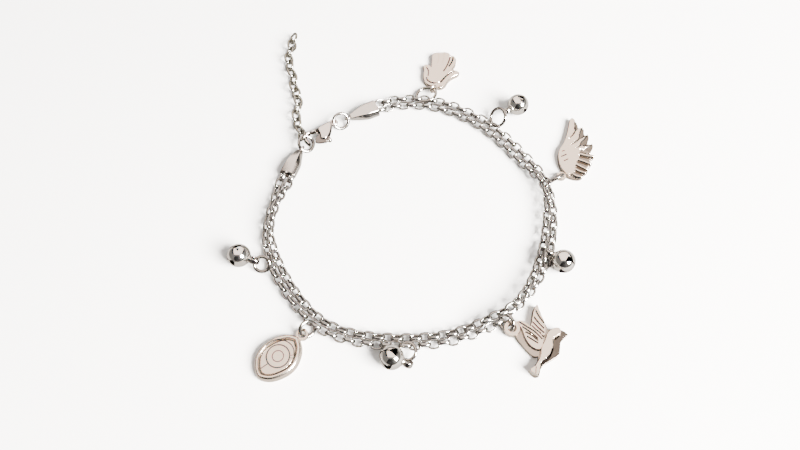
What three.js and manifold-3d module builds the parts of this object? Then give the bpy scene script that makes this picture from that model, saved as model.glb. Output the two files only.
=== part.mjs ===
// Charm anklet in polished stainless steel, lying flat and fastened.
// Two strands of cable chain run side by side between two folded end caps. A lobster clasp joins
// the caps through two jump rings, and an extender chain hangs from the ring that the clasp holds.
// Four cast charms (hand, wing, bird, eye) and four jingle bells hang from the outer strand.
// Units are millimetres, +Z is up and the surface that the anklet lies on is z = 0.

import * as THREE from 'three';
import { mergeVertices } from 'three/addons/utils/BufferGeometryUtils.js';
import Module from 'manifold-3d';

const wasm = await Module();
wasm.setup();

// ---------------------------------------------------------------- driving dimensions

const GAP = 0.25;                 // clearance between pieces that touch on the real anklet

const STRAND = { radius: 0.95, arcSegments: 4, steps: 37 };

const LINK = { length: 4.1, width: 3.0, wire: 0.3, pitch: 2.75, count: 15, roll: 45 };

const CAP = { length: 9.0, eye: 0.75, eyeWire: 0.34, mouthDepth: 1.4 };

const CLASP = { length: 9.7, thickness: 1.7, bevel: 0.3, eye: 0.82, eyeWire: 0.4, slot: 0.95 };
const LEVER = { pivotX: 4.3, pivotY: 2.15, pin: 0.3, hole: 0.5, thickness: 0.7, halfWidth: 0.42 };

const BELL = { radius: 3.0, wall: 0.4, loop: 1.1, loopWire: 0.36, loopReach: 4.2, pellet: 0.85 };
const SLOT = { top: -0.4, topHalf: 0.62, footHalf: 0.2 };

const EYE = { length: 13.7, width: 10.1, base: 1.6, rim: 0.4, rimWidth: 0.75, start: 0.9 };
const HAND = { base: 1.3, palm: 0.3 };
const WING = { base: 1.1, ridge: 0.5 };
const BIRD = { base: 2.0, relief: 0.6, flank: 1.3 };

const RING_WIRE = 0.33;
const RING_SEGMENTS = 14;
const ROOM_SEGMENTS = 10;           // for the room cut round a ring's wire

// Middle of the anklet's loop, measured from the centre of the whole part's footprint.
const LOOP_CENTRE = [-5.28, -12.11];

// ---------------------------------------------------------------- where things lie

// The double chain, from cap A's mouth round to cap B's mouth. Columns: x and y of the middle of
// the pair, how far apart the strands run in plan, height of the outer and of the inner strand.
const ROUTE = [
  [-31.1, 14.1, 2.4, 1.7, 1.7],
  [-32.0, 11.6, 2.4, 1.3, 1.5],
  [-33.2, 7.0, 1.6, 1.05, 2.8],
  [-34.3, 2.0, 1.3, 1.05, 3.05],
  [-34.6, -3.5, 1.3, 1.05, 3.05],
  [-33.5, -8.5, 1.8, 1.05, 2.6],
  [-31.4, -13.5, 2.3, 1.05, 1.6],
  [-28.7, -18.0, 2.4, 1.05, 1.1],
  [-25.6, -22.2, 2.4, 1.05, 1.05],
  [-22.1, -26.0, 2.4, 1.05, 1.05],
  [-18.0, -29.0, 2.4, 1.05, 1.05],
  [-13.2, -30.9, 2.4, 1.05, 1.05],
  [-8.2, -31.9, 2.4, 1.05, 1.05],
  [-3.0, -32.4, 2.4, 1.05, 1.05],
  [2.2, -32.5, 2.4, 1.05, 1.05],
  [7.3, -32.2, 2.4, 1.05, 1.05],
  [12.4, -31.4, 2.4, 1.05, 1.05],
  [17.4, -29.8, 2.4, 1.05, 1.3],
  [22.2, -27.8, 1.8, 1.05, 2.6],
  [26.6, -25.3, 0.9, 1.05, 3.2],
  [30.4, -21.8, 0.7, 1.05, 3.25],
  [33.5, -17.6, 1.3, 1.05, 3.05],
  [36.0, -13.0, 1.9, 1.05, 2.5],
  [37.9, -8.1, 2.1, 1.05, 2.2],
  [39.2, -3.1, 2.1, 1.05, 2.2],
  [40.0, 2.0, 1.9, 1.05, 2.5],
  [40.2, 7.1, 1.4, 1.05, 3.0],
  [39.4, 12.2, 1.6, 1.05, 2.8],
  [36.9, 16.7, 2.2, 1.05, 1.9],
  [33.8, 20.9, 2.6, 1.05, 1.05],
  [30.7, 25.1, 2.6, 1.05, 1.05],
  [27.3, 29.0, 2.6, 1.05, 1.05],
  [23.4, 32.5, 2.6, 1.05, 1.05],
  [19.1, 35.3, 2.6, 1.05, 1.05],
  [14.6, 37.6, 2.7, 1.05, 1.05],
  [9.6, 39.2, 2.6, 1.05, 1.05],
  [4.5, 39.8, 2.5, 1.05, 1.05],
  [-0.7, 39.6, 2.5, 1.05, 1.05],
  [-4.3, 38.7, 2.4, 1.3, 1.3],
  [-6.5, 37.6, 2.4, 1.7, 1.7],
];

// The extender chain, from the ring in the clasp to its free end: x, y and height.
const EXTENDER_ROUTE = [
  [-27.8, 27.1, 2.7],
  [-28.5, 29.3, 2.0],
  [-29.5, 31.9, 1.3],
  [-30.1, 35.0, 1.2],
  [-29.8, 38.2, 1.2],
  [-30.2, 41.8, 1.2],
  [-31.6, 45.2, 1.2],
  [-31.9, 48.6, 1.2],
  [-33.0, 51.8, 1.2],
  [-33.9, 56.2, 1.2],
  [-33.4, 61.5, 1.2],
  [-33.1, 65.0, 1.2],
  [-34.2, 68.2, 1.2],
];

// Jump rings: centre, mean radius, the compass direction that the ring leans towards and its lean
// from lying flat, both in degrees.
const RINGS = {
  ring_a: { at: [-26.5, 24.8, 1.9], radius: 2.18, toward: -35, lean: 36 },
  ring_b: { at: [-17.0, 32.6, 1.95], radius: 2.18, toward: -65, lean: 45 },
  ring_hand: { at: [7.7, 42.3, 1.75], radius: 2.9, toward: 143, lean: 17 },
  ring_wing: { at: [42.5, 13.0, 2.5], radius: 2.27, toward: 123, lean: 67 },
  ring_bird: { at: [26.1, -27.9, 2.0], radius: 1.95, toward: -145, lean: 52 },
  ring_eye: { at: [-22.6, -29.5, 1.9], radius: 2.0, toward: -45, lean: 50 },
  ring_bell_1: { at: [28.2, 33.6, 2.4], radius: 2.55, toward: -156, lean: 50 },
  ring_bell_2: { at: [38.0, -10.9, 2.2], radius: 2.05, toward: -20, lean: 60 },
  ring_bell_3: { at: [1.8, -35.0, 1.75], radius: 2.1, toward: -150, lean: 20 },
  ring_bell_4: { at: [-35.4, -12.2, 1.8], radius: 1.95, toward: -80, lean: 35 },
};

// Charms: where the loop's hole is, and the turn about Z of the charm's own frame, in which the
// charm runs from its loop at the origin towards +Y with its back at z = 0.
const CHARMS = {
  charm_hand: { at: [11.8, 44.9, 0], turn: -11, ring: 'ring_hand' },
  charm_wing: { at: [44.6, 14.7, 0], turn: -33, ring: 'ring_wing' },
  charm_bird: { at: [27.4, -29.2, 0], turn: -110, ring: 'ring_bird' },
  charm_eye: { at: [-23.9, -30.6, 0], turn: 138, ring: 'ring_eye' },
};

// Bells: centre of the ball, a point that the shank loop reaches towards, and the roll about the
// shank that takes the first slot away from facing up, in degrees.
const BELLS = {
  bell_1: { at: [34.2, 37.6, 3.02], loopTo: [30.6, 35.0, 3.4], roll: 5, ring: 'ring_bell_1' },
  bell_2: { at: [41.7, -11.9, 3.02], loopTo: [37.8, -9.4, 3.3], roll: 20, ring: 'ring_bell_2' },
  bell_3: { at: [-2.0, -37.2, 3.02], loopTo: [1.9, -38.2, 1.6], roll: 0, ring: 'ring_bell_3' },
  bell_4: { at: [-41.3, -10.3, 3.02], loopTo: [-37.0, -11.6, 2.6], roll: -72, ring: 'ring_bell_4' },
};

// ---------------------------------------------------------------- finishes

const FINISHES = {
  chain: { color: 0xc9c6c1, roughness: 0.22 },
  finding: { color: 0xcfcbc6, roughness: 0.18 },
  charm: { color: 0xddd3ca, roughness: 0.26 },
  bell: { color: 0xc4bfb8, roughness: 0.12 },
};

const anklet = new THREE.Group();
const loop = new THREE.Group();
loop.position.set(LOOP_CENTRE[0], LOOP_CENTRE[1], 0);
anklet.add(loop);

function addPiece(name, geometry, finish) {
  const material = new THREE.MeshStandardMaterial({ ...FINISHES[finish], metalness: 1 });
  const mesh = new THREE.Mesh(geometry, material);
  mesh.name = name;
  loop.add(mesh);
  return mesh;
}

// ---------------------------------------------------------------- solids

function toSolid(geometry) {
  const bare = new THREE.BufferGeometry();
  bare.setAttribute('position', geometry.getAttribute('position').clone());
  if (geometry.index) bare.setIndex(geometry.index.clone());
  const merged = mergeVertices(bare, 1e-4);
  return new wasm.Manifold(new wasm.Mesh({
    numProp: 3,
    vertProperties: new Float32Array(merged.getAttribute('position').array),
    triVerts: new Uint32Array(merged.index.array),
  }));
}

function toGeometry(solid) {
  const mesh = solid.getMesh();
  const geometry = new THREE.BufferGeometry();
  geometry.setAttribute('position', new THREE.BufferAttribute(mesh.vertProperties, 3));
  geometry.setIndex(new THREE.BufferAttribute(mesh.triVerts, 1));
  return geometry;
}

function join(...geometries) {
  return toGeometry(geometries.map(toSolid).reduce((sum, solid) => sum.add(solid)));
}

function cut(geometry, ...tools) {
  return toGeometry(tools.map(toSolid).reduce((rest, tool) => rest.subtract(tool), toSolid(geometry)));
}

function inFrame(geometry, position, quaternion) {
  const matrix = new THREE.Matrix4().compose(position, quaternion, new THREE.Vector3(1, 1, 1));
  return geometry.clone().applyMatrix4(matrix);
}

function vec(list) {
  return new THREE.Vector3(...list);
}

function turnAbout(axis, degrees) {
  return new THREE.Quaternion().setFromAxisAngle(axis, THREE.MathUtils.degToRad(degrees));
}

const X_AXIS = new THREE.Vector3(1, 0, 0);
const Y_AXIS = new THREE.Vector3(0, 1, 0);
const Z_AXIS = new THREE.Vector3(0, 0, 1);

function disc(radius, depth, sides = 10) {
  return new THREE.CylinderGeometry(radius, radius, depth, sides).rotateX(Math.PI / 2);
}

// A flat piece with its outline in X and Y, from z = low to z = high.
function plate(shape, low, high, curveSegments = 2, bevel = 0) {
  const settings = {
    depth: high - low - 2 * bevel,
    curveSegments,
    bevelEnabled: bevel > 0,
    bevelThickness: bevel,
    bevelSize: bevel,
    bevelOffset: -bevel,
    bevelSegments: 1,
  };
  return new THREE.ExtrudeGeometry(shape, settings).translate(0, 0, low + bevel);
}

// An outline made of stretches, each a line or a spline that starts where the last one ended.
function outline(start, ...stretches) {
  const shape = new THREE.Shape();
  shape.moveTo(...start);
  for (const stretch of stretches) {
    if (stretch.length === 1) shape.lineTo(...stretch[0]);
    else shape.splineThru(stretch.map(([x, y]) => new THREE.Vector2(x, y)));
  }
  return shape;
}

// A straight bar with round ends, from one point to another.
function barShape([x1, y1], [x2, y2], halfWidth) {
  const along = Math.atan2(y2 - y1, x2 - x1);
  const shape = new THREE.Shape();
  shape.absarc(x2, y2, halfWidth, along - Math.PI / 2, along + Math.PI / 2);
  shape.absarc(x1, y1, halfWidth, along + Math.PI / 2, along + 1.5 * Math.PI);
  return shape;
}

// ---------------------------------------------------------------- jump rings

function ringPlacement({ toward, lean }) {
  const swing = turnAbout(Z_AXIS, toward);
  return swing.multiply(turnAbout(Y_AXIS, lean));
}

function makeRing(name) {
  const ring = RINGS[name];
  const torus = new THREE.TorusGeometry(ring.radius, RING_WIRE, 5, RING_SEGMENTS);
  const mesh = addPiece(name, torus, 'finding');
  mesh.position.fromArray(ring.at);
  mesh.quaternion.copy(ringPlacement(ring));
  return mesh;
}

// A ring's wire at an angle counted in the ring's own plane: the point and the wire's direction.
function ringWireAt(name, degrees) {
  const ring = RINGS[name];
  const angle = THREE.MathUtils.degToRad(degrees);
  const placement = ringPlacement(ring);
  const spoke = new THREE.Vector3(Math.cos(angle), Math.sin(angle), 0).applyQuaternion(placement);
  const along = new THREE.Vector3(-Math.sin(angle), Math.cos(angle), 0).applyQuaternion(placement);
  return { point: vec(ring.at).addScaledVector(spoke, ring.radius), along };
}

// Cuts room for a ring's wire out of a piece that the ring passes through.
function relieve(mesh, ringMesh, gap = GAP) {
  mesh.updateMatrix();
  ringMesh.updateMatrix();
  const radius = RINGS[ringMesh.name].radius;
  const room = new THREE.TorusGeometry(radius, RING_WIRE + gap, 5, ROOM_SEGMENTS);
  room.applyMatrix4(mesh.matrix.clone().invert().multiply(ringMesh.matrix));
  mesh.geometry = cut(mesh.geometry, room);
}

// ---------------------------------------------------------------- chain strands

function strandCurve(side) {
  const points = ROUTE.map(([x, y, spread, outerZ, innerZ], i) => {
    const before = ROUTE[Math.max(i - 1, 0)];
    const after = ROUTE[Math.min(i + 1, ROUTE.length - 1)];
    const along = new THREE.Vector2(after[0] - before[0], after[1] - before[1]).normalize();
    const shift = side * spread / 2;
    const height = side > 0 ? outerZ : innerZ;
    return new THREE.Vector3(x + along.y * shift, y - along.x * shift, height);
  });
  return new THREE.CatmullRomCurve3(points, false, 'centripetal');
}

function makeStrand(name, side) {
  const section = new THREE.Shape();
  section.absarc(0, 0, STRAND.radius, 0, 2 * Math.PI);
  const settings = {
    steps: STRAND.steps,
    curveSegments: STRAND.arcSegments,
    extrudePath: strandCurve(side),
  };
  return addPiece(name, new THREE.ExtrudeGeometry(section, settings), 'chain');
}

// ---------------------------------------------------------------- end caps

// A closed form through eight-sided sections at stations along X, each with its half width and
// half height, with the corners cut off by a third of the smaller of the two.
function loftAlongX(stations) {
  const positions = [];
  const index = [];
  const sides = 8;
  for (const [x, w, h] of stations) {
    const c = Math.min(w, h) * 0.36;
    const ringOfPoints = [[w, h - c], [w - c, h], [c - w, h], [-w, h - c],
      [-w, c - h], [c - w, -h], [w - c, -h], [w, c - h]];
    for (const [y, z] of ringOfPoints) positions.push(x, y, z);
  }
  for (let s = 0; s < stations.length - 1; s += 1) {
    for (let i = 0; i < sides; i += 1) {
      const a = s * sides + i;
      const b = s * sides + (i + 1) % sides;
      index.push(a, b, b + sides, a, b + sides, a + sides);
    }
  }
  const last = (stations.length - 1) * sides;
  for (let i = 1; i < sides - 1; i += 1) {
    index.push(0, i + 1, i);
    index.push(last, last + i, last + i + 1);
  }
  const geometry = new THREE.BufferGeometry();
  geometry.setAttribute('position', new THREE.Float32BufferAttribute(positions, 3));
  geometry.setIndex(index);
  return geometry;
}

// Cap frame: the eye's hole is at the origin and +X runs to the mouth.
function makeCap(name, ringName, ringAngle, mouthTowards) {
  const wire = ringWireAt(ringName, ringAngle);
  const axis = vec(mouthTowards).sub(wire.point).normalize();
  const heading = THREE.MathUtils.radToDeg(Math.atan2(axis.y, axis.x));
  const placement = turnAbout(Z_AXIS, heading).multiply(turnAbout(Y_AXIS, -THREE.MathUtils.radToDeg(
    Math.asin(axis.z))));
  const body = loftAlongX([
    [0.8, 0.62, 0.6],
    [2.2, 1.05, 0.95],
    [4.6, 2.2, 1.5],
    [5.4, 2.5, 1.65],
    [CAP.length, 2.55, 1.65],
  ]);
  const mouth = new THREE.BoxGeometry(2 * CAP.mouthDepth, 4.3, 2.5).translate(CAP.length, 0, 0);
  const eye = new THREE.TorusGeometry(CAP.eye, CAP.eyeWire, 6, 12);
  const alongInCap = wire.along.clone().applyQuaternion(placement.clone().invert());
  eye.applyQuaternion(new THREE.Quaternion().setFromUnitVectors(Z_AXIS, alongInCap));
  const mesh = addPiece(name, join(cut(body, mouth), eye), 'finding');
  mesh.position.copy(wire.point);
  mesh.quaternion.copy(placement);
  return mesh;
}

// ---------------------------------------------------------------- lobster clasp

// Clasp frame: the eye is at the origin, +X runs to the claw and +Y to the lever's side.
function claspPlacement() {
  const eye = ringWireAt('ring_b', -98).point;
  const claw = new THREE.Vector3(-27.5, 26.95, eye.z);
  const axis = claw.sub(eye);
  return { eye, placement: turnAbout(Z_AXIS, THREE.MathUtils.radToDeg(Math.atan2(axis.y, axis.x))) };
}

function claspShape() {
  const end = CLASP.length;
  return outline(
    [0.7, -0.6],
    [[2.2, -1.35], [4.4, -1.95], [6.8, -2.0], [end - 0.9, -1.1], [end, 0.5], [end - 0.3, 1.9],
      [end - 1.15, 2.75]],
    [[end - 1.55, 2.3]],
    [[end - 1.05, 1.4], [end - 1.2, 0.3], [7.7, -0.55], [6.4, -0.85], [5.3, -0.5], [4.9, 0.5],
      [4.9, 1.2]],
    [[4.9, 2.7]],
    [[4.3, 3.15], [3.2, 2.9], [2.0, 1.9], [0.7, 0.6]],
  );
}

function makeClaspBody() {
  const half = CLASP.thickness / 2;
  const body = plate(claspShape(), -half, half, 1, CLASP.bevel);
  const eye = new THREE.TorusGeometry(CLASP.eye, CLASP.eyeWire, 6, 12);
  const slotHalf = CLASP.slot / 2;
  const rootRoom = disc(1.35, CLASP.slot).translate(LEVER.pivotX, LEVER.pivotY, 0);
  const knobRoom = new THREE.BoxGeometry(3.2, 3.0, CLASP.slot).translate(3.6, 3.5, 0);
  const armRoom = plate(barShape([LEVER.pivotX, LEVER.pivotY], [5.6, 1.6], 0.95), -slotHalf, slotHalf, 3);
  const pin = disc(LEVER.pin, CLASP.thickness - 0.3, 8).translate(LEVER.pivotX, LEVER.pivotY, 0);
  const forked = cut(join(body, eye), rootRoom, knobRoom, armRoom);
  const { eye: position, placement } = claspPlacement();
  const mesh = addPiece('clasp_body', join(forked, pin), 'finding');
  mesh.position.copy(position);
  mesh.quaternion.copy(placement);
  return mesh;
}

function makeClaspLever() {
  const { pivotX, pivotY, halfWidth, hole, thickness } = LEVER;
  const half = thickness / 2;
  const arm = plate(barShape([pivotX, pivotY], [7.25, 2.5], halfWidth), -half, half, 4);
  const root = disc(0.95, thickness, 12).translate(pivotX, pivotY, 0);
  const neck = plate(barShape([pivotX, pivotY], [3.35, 3.45], 0.45), -half, half, 4);
  const knob = disc(0.75, 1.5, 10).translate(3.2, 3.75, 0);
  const pinRoom = disc(hole, 3, 12).translate(pivotX, pivotY, 0);
  const { eye, placement } = claspPlacement();
  const mesh = addPiece('clasp_lever', cut(join(arm, root, neck, knob), pinRoom), 'finding');
  mesh.position.copy(eye);
  mesh.quaternion.copy(placement);
  return mesh;
}

// ---------------------------------------------------------------- extender chain

// A link is a ring pulled out along X: its two halves are moved apart.
function linkGeometry() {
  const bend = LINK.width / 2 - LINK.wire;
  const pull = (LINK.length - LINK.width) / 2;
  const tubular = 10;
  const link = new THREE.TorusGeometry(bend, LINK.wire, 5, tubular).rotateZ(Math.PI / tubular);
  const position = link.getAttribute('position');
  for (let i = 0; i < position.count; i += 1) {
    const x = position.getX(i);
    position.setX(i, x + Math.sign(x) * pull);
  }
  return link;
}

function makeExtender() {
  const curve = new THREE.CatmullRomCurve3(EXTENDER_ROUTE.map(vec), false, 'centripetal');
  const length = curve.getLength();
  for (let i = 0; i < LINK.count; i += 1) {
    const u = (i * LINK.pitch) / length;
    const point = curve.getPointAt(u);
    const along = curve.getTangentAt(u);
    const side = new THREE.Vector3().crossVectors(Z_AXIS, along).normalize();
    const up = new THREE.Vector3().crossVectors(along, side);
    const frame = new THREE.Matrix4().makeBasis(along, side, up);
    const roll = turnAbout(X_AXIS, i % 2 === 0 ? -LINK.roll : LINK.roll);
    const name = `extender_link_${String(i + 1).padStart(2, '0')}`;
    const mesh = addPiece(name, linkGeometry(), 'chain');
    mesh.position.copy(point);
    mesh.quaternion.setFromRotationMatrix(frame).multiply(roll);
  }
}

// ---------------------------------------------------------------- charms

function placeCharm(name, geometry) {
  const { at, turn } = CHARMS[name];
  const mesh = addPiece(name, geometry, 'charm');
  mesh.position.fromArray(at);
  mesh.rotation.z = THREE.MathUtils.degToRad(turn);
  return mesh;
}

function flatLoop(outer, hole, low, high) {
  return cut(disc(outer, high - low, 14), disc(hole, 2 * (high - low), 10)).translate(0, 0, (low + high) / 2);
}

// Two arcs that meet in a blunt point at each end, drawn in by an inset.
function almond(inset) {
  const halfLength = EYE.length / 2 - inset * 1.15;
  const halfWidth = EYE.width / 2 - inset;
  const radius = (halfLength ** 2 + halfWidth ** 2) / (2 * halfWidth);
  const centreX = radius - halfWidth;
  const middle = EYE.start + EYE.length / 2;
  const spread = Math.asin(halfLength / radius);
  const shape = new THREE.Shape();
  shape.absarc(-centreX, middle, radius, -spread, spread);
  shape.absarc(centreX, middle, radius, Math.PI - spread, Math.PI + spread);
  return shape;
}

function eyeCharm() {
  const middle = EYE.start + EYE.length / 2;
  const top = EYE.base + EYE.rim;
  const rim = almond(0.1);
  rim.holes.push(almond(EYE.rimWidth));
  const iris = new THREE.Shape().absarc(0, middle, 2.85, 0, 2 * Math.PI);
  iris.holes.push(new THREE.Path().absarc(0, middle, 2.35, 0, 2 * Math.PI));
  const pupil = new THREE.Shape().absarc(0, middle, 1.3, 0, 2 * Math.PI);
  const sunk = EYE.base - 0.4;
  return join(
    plate(almond(0), 0, EYE.base, 6, 0.25),
    plate(rim, sunk, top, 6),
    plate(iris, sunk, EYE.base + 0.2, 7),
    plate(pupil, sunk, EYE.base + 0.25, 5),
    flatLoop(1.5, 0.95, 0.4, 1.5),
  );
}

function handCharm() {
  const hand = outline(
    [-0.6, 0.3],
    [[-2.6, 0.5], [-4.6, 1.4], [-5.5, 3.4], [-5.8, 5.8], [-6.3, 7.6]],
    [[-5.6, 8.2], [-4.5, 8.1], [-3.8, 7.5]],
    [[-4.1, 10.2], [-4.3, 12.3], [-3.5, 13.3], [-2.1, 13.6]],
    [[-0.7, 14.2], [0.6, 13.9], [1.2, 13.2]],
    [[2.3, 13.0], [3.1, 11.8], [3.2, 10.2], [2.4, 7.7]],
    [[3.6, 7.7], [4.8, 7.1], [4.4, 6.1]],
    [[3.0, 4.9], [2.0, 3.4], [1.4, 1.6], [0.4, 0.5], [-0.6, 0.3]],
  );
  const palm = outline(
    [-0.8, 1.5],
    [[-2.8, 1.7], [-4.2, 2.6], [-4.6, 5.0], [-4.5, 7.0], [-3.6, 6.7]],
    [[-3.4, 10.0], [-3.5, 12.2]],
    [[-0.8, 13.4], [1.4, 12.3], [1.6, 10.2]],
    [[1.5, 8.0], [2.8, 6.8]],
    [[1.4, 5.2], [0.5, 3.2], [-0.8, 1.5]],
  );
  const finger = outline([2.0, 12.2], [[2.6, 11.4], [2.6, 10.2], [2.1, 8.8]], [[2.0, 12.2]]);
  const { point, along } = ringWireAt('ring_hand', -103);
  const { at, turn } = CHARMS.charm_hand;
  const toCharm = turnAbout(Z_AXIS, -turn);
  const loopAt = point.sub(vec(at)).applyQuaternion(toCharm);
  const loopAxis = along.applyQuaternion(toCharm);
  const bail = new THREE.TorusGeometry(0.95, 0.36, 6, 12);
  const stem = barShape([loopAt.x + 0.3, loopAt.y + 0.95], [loopAt.x + 0.55, loopAt.y + 1.9], 0.5);
  const facing = new THREE.Quaternion().setFromUnitVectors(Z_AXIS, loopAxis);
  return join(
    plate(hand, 0, HAND.base, 2, 0.15),
    plate(palm, HAND.base - 0.3, HAND.base + HAND.palm, 1),
    plate(finger, HAND.base - 0.3, HAND.base + HAND.palm, 1),
    plate(stem, 0.5, 2.0, 3),
    inFrame(bail, loopAt, facing),
  );
}

// Feather tips and the notches before them, from the wing's tip down to its root: x and y of the
// notch, then of the tip.
const FEATHERS = [
  { notch: [-3.5, 17.0], tip: [-2.1, 17.4] },
  { notch: [-0.8, 15.7], tip: [0.5, 16.0] },
  { notch: [1.4, 13.5], tip: [3.0, 13.9] },
  { notch: [3.5, 11.1], tip: [5.1, 10.6] },
  { notch: [4.4, 8.8], tip: [5.6, 7.6] },
  { notch: [4.9, 6.0], tip: [5.6, 4.6] },
];

function wingCharm() {
  const wing = outline([-0.7, 1.2], [[-2.4, 3.2], [-3.8, 5.6], [-4.3, 8.6], [-4.4, 11.5], [-5.3, 15.0],
    [-6.4, 17.9], [-6.1, 19.2]]);
  let previous = [-6.1, 19.2];
  for (const { notch, tip } of FEATHERS) {
    wing.quadraticCurveTo(previous[0] + 0.9, previous[1] - 0.3, ...notch);
    wing.quadraticCurveTo((notch[0] + tip[0]) / 2 + 0.1, (notch[1] + tip[1]) / 2 + 0.5, ...tip);
    previous = tip;
  }
  wing.splineThru([[5.3, 2.9], [3.9, 1.5], [1.6, 0.7], [-0.7, 1.2]].map(([x, y]) => new THREE.Vector2(x, y)));
  const shoulder = outline(
    [-0.6, 1.8],
    [[-2.0, 3.4], [-3.3, 5.8], [-3.8, 8.6], [-3.8, 11.5], [-4.7, 15.0], [-5.8, 18.2]],
    [[-3.6, 13.0], [-1.4, 9.6], [0.9, 6.4], [1.4, 3.2]],
    [[0.5, 2.0], [-0.6, 1.8]],
  );
  const high = WING.base + WING.ridge;
  const ridges = FEATHERS.map(({ notch, tip }, i) => {
    const root = [-2.2 + i * 0.6, 12.0 - i * 1.5];
    const end = [0.35 * notch[0] + 0.65 * tip[0] - 0.35, 0.35 * notch[1] + 0.65 * tip[1] - 0.45];
    return plate(barShape(root, end, 0.28), WING.base - 0.3, high - 0.15, 1);
  });
  return join(
    plate(wing, 0, WING.base, 3),
    plate(shoulder, WING.base - 0.3, high, 1),
    ...ridges,
    flatLoop(1.25, 0.62, 0.3, 1.3),
  );
}

function birdCharm() {
  const bird = outline(
    [-2.2, 0.9],
    [[-2.5, 1.9], [-1.9, 4.0]],
    [[-3.2, 4.0], [-5.2, 3.8], [-6.9, 3.7], [-7.9, 4.2]],
    [[-6.5, 5.5], [-4.6, 7.0], [-3.0, 8.4]],
    [[-3.7, 9.7], [-3.9, 11.2], [-3.4, 13.3]],
    [[-2.2, 12.7], [-0.9, 11.8]],
    [[0.7, 11.9], [2.2, 11.9], [3.9, 11.0], [5.6, 9.7], [7.2, 9.2], [9.1, 9.2]],
    [[9.4, 8.4], [8.5, 6.7]],
    [[6.8, 7.5], [4.9, 8.0], [3.4, 7.7]],
    [[3.0, 6.9], [2.7, 5.2], [1.6, 3.8], [0.4, 2.6], [-0.6, 0.6]],
    [[-2.2, 0.9]],
  );
  const body = outline(
    [-3.2, 9.9],
    [[-3.3, 11.0], [-2.9, 12.0]],
    [[-1.0, 10.9], [1.0, 11.0], [2.6, 10.6], [4.4, 9.3], [6.6, 8.6], [8.6, 8.4]],
    [[8.0, 7.3], [5.4, 8.1], [3.0, 8.1], [1.0, 8.3], [-1.2, 8.6], [-3.2, 9.9]],
  );
  const flank = outline(
    [-0.9, 1.6],
    [[0.2, 1.0], [1.4, 1.3], [2.9, 3.2], [4.3, 5.4], [4.8, 7.0], [4.3, 7.7]],
    [[3.0, 7.4]],
    [[2.0, 4.9], [0.8, 3.1], [-0.9, 1.6]],
  );
  const high = BIRD.base + BIRD.relief;
  const upperWing = [0, 1, 2, 3].map((i) => ({ from: [-1.7 + i * 0.1, 7.9 - i * 0.95],
    to: [-6.7 + i * 1.25, 4.9 - i * 0.15] }));
  const lowerWing = [0, 1, 2, 3].map((i) => ({ from: [-0.2 + i * 0.7, 7.4 - i * 0.35],
    to: [-1.6 + i * 0.95, 2.2 + i * 0.7] }));
  const feathers = [...upperWing, ...lowerWing].map(({ from, to }) => plate(
    barShape(from, to, 0.3), BIRD.base - 0.3, BIRD.base + 0.3, 1));
  return join(
    plate(bird, 0, BIRD.base, 2, 0.15),
    plate(flank, 0, BIRD.flank, 1, 0.35),
    plate(body, BIRD.base - 0.3, high, 1),
    ...feathers,
    flatLoop(1.95, 0.9, 0.5, 2.0),
  );
}

// ---------------------------------------------------------------- jingle bells

// Bell frame: the ball's centre is at the origin and +Z runs to the shank loop. Four slots start
// near the middle, where they are widest, and narrow on their way to the foot.
function bellGeometry() {
  const shell = new THREE.SphereGeometry(BELL.radius, 12, 8).rotateX(Math.PI / 2);
  const hollow = new THREE.SphereGeometry(BELL.radius - BELL.wall, 8, 5).rotateX(Math.PI / 2);
  const foot = -BELL.radius - 0.5;
  const slot = outline([-SLOT.topHalf, SLOT.top], [[SLOT.topHalf, SLOT.top]],
    [[SLOT.footHalf, foot]], [[-SLOT.footHalf, foot]]);
  const slots = [0, 1, 2, 3].map((i) => plate(slot, 0, BELL.radius + 1, 1)
    .rotateX(Math.PI / 2).rotateZ(i * Math.PI / 2));
  const shank = new THREE.TorusGeometry(BELL.loop, BELL.loopWire, 5, 10).rotateX(Math.PI / 2);
  shank.translate(0, 0, BELL.loopReach);
  const neck = disc(0.75, 0.7, 8).translate(0, 0, BELL.radius - 0.1);
  return join(cut(shell, hollow, ...slots), cut(join(shank, neck), hollow));
}

// The frame's -Y, where the first slot is, faces up before the roll.
function bellPlacement({ at, loopTo, roll }) {
  const axis = vec(loopTo).sub(vec(at)).normalize();
  const down = Z_AXIS.clone().addScaledVector(axis, -axis.z).normalize().negate();
  const across = new THREE.Vector3().crossVectors(down, axis);
  const frame = new THREE.Matrix4().makeBasis(across, down, axis);
  return new THREE.Quaternion().setFromRotationMatrix(frame).multiply(turnAbout(Z_AXIS, roll));
}

function makeBell(name) {
  const mesh = addPiece(name, bellGeometry(), 'bell');
  mesh.position.fromArray(BELLS[name].at);
  mesh.quaternion.copy(bellPlacement(BELLS[name]));
  return mesh;
}

// The pellet lies loose at the lowest place inside the shell.
function makePellet(bellName) {
  const { at } = BELLS[bellName];
  const drop = BELL.radius - BELL.wall - BELL.pellet - 2 * GAP;
  const name = bellName.replace('bell_', 'bell_pellet_');
  const mesh = addPiece(name, new THREE.SphereGeometry(BELL.pellet, 7, 5), 'bell');
  mesh.position.set(at[0], at[1], at[2] - drop);
}

// ---------------------------------------------------------------- assembly

const rings = {};
for (const name of Object.keys(RINGS)) rings[name] = makeRing(name);

const strands = [makeStrand('strand_outer', 1), makeStrand('strand_inner', -1)];
for (const strand of strands) {
  for (const name of Object.keys(RINGS).slice(2)) relieve(strand, rings[name]);
}

makeCap('end_cap_a', 'ring_a', -91, [-30.9, 14.6, 1.8]);
makeCap('end_cap_b', 'ring_b', 90, [-7.0, 37.3, 1.8]);

const claspBody = makeClaspBody();
relieve(claspBody, rings.ring_a);
relieve(claspBody, rings.ring_b);
makeClaspLever();
makeExtender();

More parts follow.
